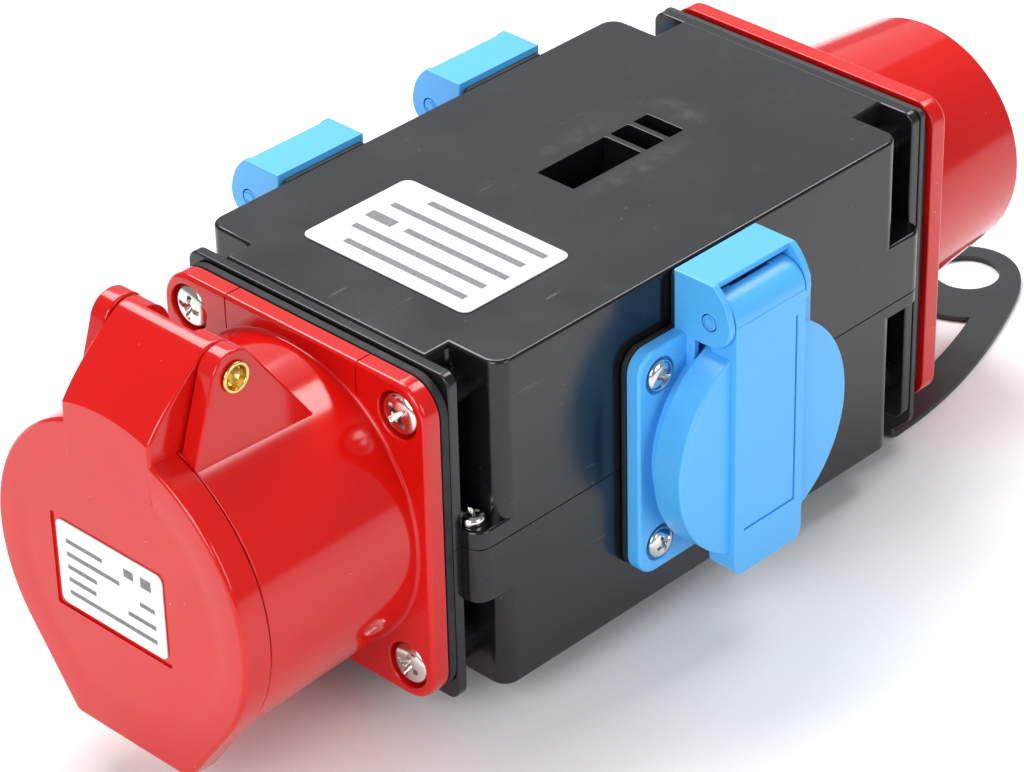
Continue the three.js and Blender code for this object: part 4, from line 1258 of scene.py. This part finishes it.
def side_sockets():
    """The three sockets. Each piece is built once, and the others share its mesh."""
    builders = {
        "housing": ("body", "blue_plastic", BLUE, socket_housing),
        "lid": ("flap", "blue_plastic", BLUE, socket_lid),
        "hinge_pin": ("pin", "blue_plastic", BLUE, socket_pin),
        "gasket": ("seal", "rubber_seal", RUBBER, socket_gasket),
        "insert": ("face", "insert_plastic", INSERT, socket_insert),
        "lid_spring": ("spring", "plated_steel", STEEL, socket_spring),
    }
    first = {}
    for name, side in SOCKETS.items():
        spot = Vector((side * SHELL["half_x"], centre(name + "_insert").y, SOCKET_Z)) * MM
        placed = Matrix.Translation(spot) @ Matrix.Rotation(0 if side > 0 else math.pi, 4, "Z")
        for part, (word, slot, material, build) in builders.items():
            label = f"{name}_{word}"
            made = copies(first[part], label) if part in first else build()
            first.setdefault(part, made)
            body = f"{name}_lid" if part == "lid" else BODY
            finish(made, label, body, slot, material, f"{name}_{part}", placed=placed)
        for number, end in ((1, -1), (2, 1)):
            label = f"{name}_clip_{number}"
            made = copies(first[number], label) if number in first else earth_clip(end)
            first.setdefault(number, made)
            finish(made, label, BODY, "plated_steel", STEEL, placed=placed)


def socket_spring():
    body = coil(2.6, 0.33, 4.6, 5, (4.9, -2.6))
    return move(move(body, turn=90), PIVOT["x"], 0, PIVOT["z"])


def socket_screws():
    """The right socket's four screws stand for CAD nodes; the left sockets' eight are made here."""
    size = (3.3, 2.0, 1.4, 12, 2.1)
    nodes = [f"right_socket_screw_{i}" for i in range(1, 5)]
    base = place_screws("right_flange_screw", size, nodes, (1, 0, 0), 37)
    seat = extent(nodes[0])[1].x - size[1]
    for name in ("left_front_socket", "left_rear_socket"):
        middle = centre(name + "_insert").y
        for i, (y, z) in enumerate(SOCKET_SCREWS):
            spot = Vector((-seat, middle + y, SOCKET_Z + z))
            screw = copies(base, f"{name}_fixing_{i + 1}")
            placed = screw_matrix(spot, (-1, 0, 0), 29 * (i + 1))
            finish(screw, screw.name, BODY, "plated_steel", STEEL, placed=placed)


def body_screws():
    """The flange screws of the five-pole fittings, and the case screws in the tabs."""
    flange_screw = (4.45, 2.5, 1.9, 14, 3.1)
    case_screw = (2.6, 2.0, 1.4, 13, 1.7)
    outlet, inlet = [[f"{name}_screw_{i}" for i in range(1, 5)] for name in ("outlet", "inlet")]
    place_screws("outlet_fixing", flange_screw, outlet, (0, -1, 0), 41)
    place_screws("inlet_fixing", flange_screw, inlet, (0, 1, 0), 33)
    place_screws("case_fixing_rear", case_screw, ["case_screw_1", "case_screw_2"], (0, 0, -1), 23)
    place_screws("case_fixing_front", case_screw, ["case_screw_3", "case_screw_4"], (0, 0, 1), 31)


# ---- Labels and small pieces ----
def top_label():
    low, high = extent("rating_label")
    middle = (low + high) / 2
    outline = rounded_rect((high.x - low.x) / 2, (high.y - low.y) / 2, 2, middle.x, middle.y, 8)
    bar = 0.8
    rows = [(10.2, -18, 14, bar), (5.1, -18, 17, bar), (0, -19, 8, bar)]
    rows += [(0, 11, 18, 1.3), (-5.3, -18, 17, bar), (-10.4, -19, 12, bar)]
    film = label_film("top_label_film", tuple(middle), rows, (-1, 0, 0), (0, -1, 0))
    plate = slab(outline, low.z, high.z, "z", 0, 0.08)
    finish(plate, "top_film", BODY, "label_film", film, "rating_label")


def dress_hidden_nodes():
    """Hidden CAD pieces stay as they are, with the right finish."""
    hidden = {f"outlet_contact_{i}": BRASS for i in range(1, 6)} | {"wiring_loom": SHEATH}
    for node, material in hidden.items():
        slots = frame["nodes"][node].data.materials
        slots.clear()
        slots.append(material)


enclosure()
outlet_housing()
outlet_lid()
eyelet()
outlet_spring()
gaskets()
contact_carrier()
inlet()
inlet_pins()
bracket()
side_sockets()
socket_screws()
body_screws()
top_label()
dress_hidden_nodes()


# ---- Floor, light and camera, in metres ----
MIDDLE = (0, 0, 0.03)


def floor():
    mesh = bpy.data.meshes.new("floor")
    z, half = (BRACKET_LOW.z - 0.05) * MM, 1.6
    corners = [(-half, -half, z), (half, -half, z), (half, half, z), (-half, half, z)]
    mesh.from_pydata(corners, [], [(0, 1, 2, 3)])
    n = Nodes("floor_paper")
    tint = n.blend(n.cloud(160), (0.92, 0.92, 0.92), (0.94, 0.94, 0.94))
    n.bump(n.noise(3, 3, 0.6), 0.02)
    mesh.materials.append(n.set(Base_Color=tint, Roughness=0.8))
    add_object("floor", mesh)


def area_light(name, position, size, power, colour=(1, 1, 1)):
    """A soft panel in metres and watts, turned to the middle of the object."""
    data = bpy.data.lights.new(name, "AREA")
    data.shape = "RECTANGLE"
    data.size, data.size_y = size
    data.energy = power
    data.color = colour
    lamp = add_object(name, data)
    lamp.location = position
    lamp.rotation_euler = (Vector(MIDDLE) - Vector(position)).to_track_quat("-Z", "Y").to_euler()


def lighting():
    world = bpy.data.worlds.new("studio")
    world.use_nodes = True
    background = world.node_tree.nodes["Background"]
    background.inputs["Color"].default_value = (0.93, 0.96, 1.0, 1)
    background.inputs["Strength"].default_value = 0.32
    bpy.context.scene.world = world
    area_light("key", (-0.45, 0.15, 0.85), (0.7, 0.5), 9)
    area_light("front", (0.25, -0.95, 0.55), (0.6, 0.6), 7)
    area_light("side", (0.95, 0.1, 0.45), (0.5, 0.5), 3)
    area_light("panel", (-0.85, 0.87, 0.8), (1.2, 1.1), 2.2, (0.93, 0.96, 1.0))
    area_light("edge", (0.03, 0.66, 0.88), (0.36, 0.3), 3)


def camera():
    """The view: azimuth and elevation in degrees, a slight roll, and a long lens."""
    azimuth, elevation, roll = [math.radians(angle) for angle in (44.682, 32.463, -1.395)]
    away = math.cos(elevation)
    back = Vector((math.sin(azimuth) * away, -math.cos(azimuth) * away, math.sin(elevation)))
    level = Vector((math.cos(azimuth), math.sin(azimuth), 0))
    upright = back.cross(level)
    right = level * math.cos(roll) + upright * math.sin(roll)
    up = upright * math.cos(roll) - level * math.sin(roll)
    data = bpy.data.cameras.new("camera")
    data.sensor_width = 36
    data.lens = 139.49
    data.clip_start, data.clip_end = 0.05, 20
    made = add_object("camera", data)
    turn = Matrix((right, up, back)).transposed().to_4x4()
    made.matrix_world = Matrix.Translation((0.466557, -0.486172, 0.453877)) @ turn
    bpy.context.scene.camera = made


floor()
lighting()
camera()
bpy.context.scene.view_settings.view_transform = "Standard"
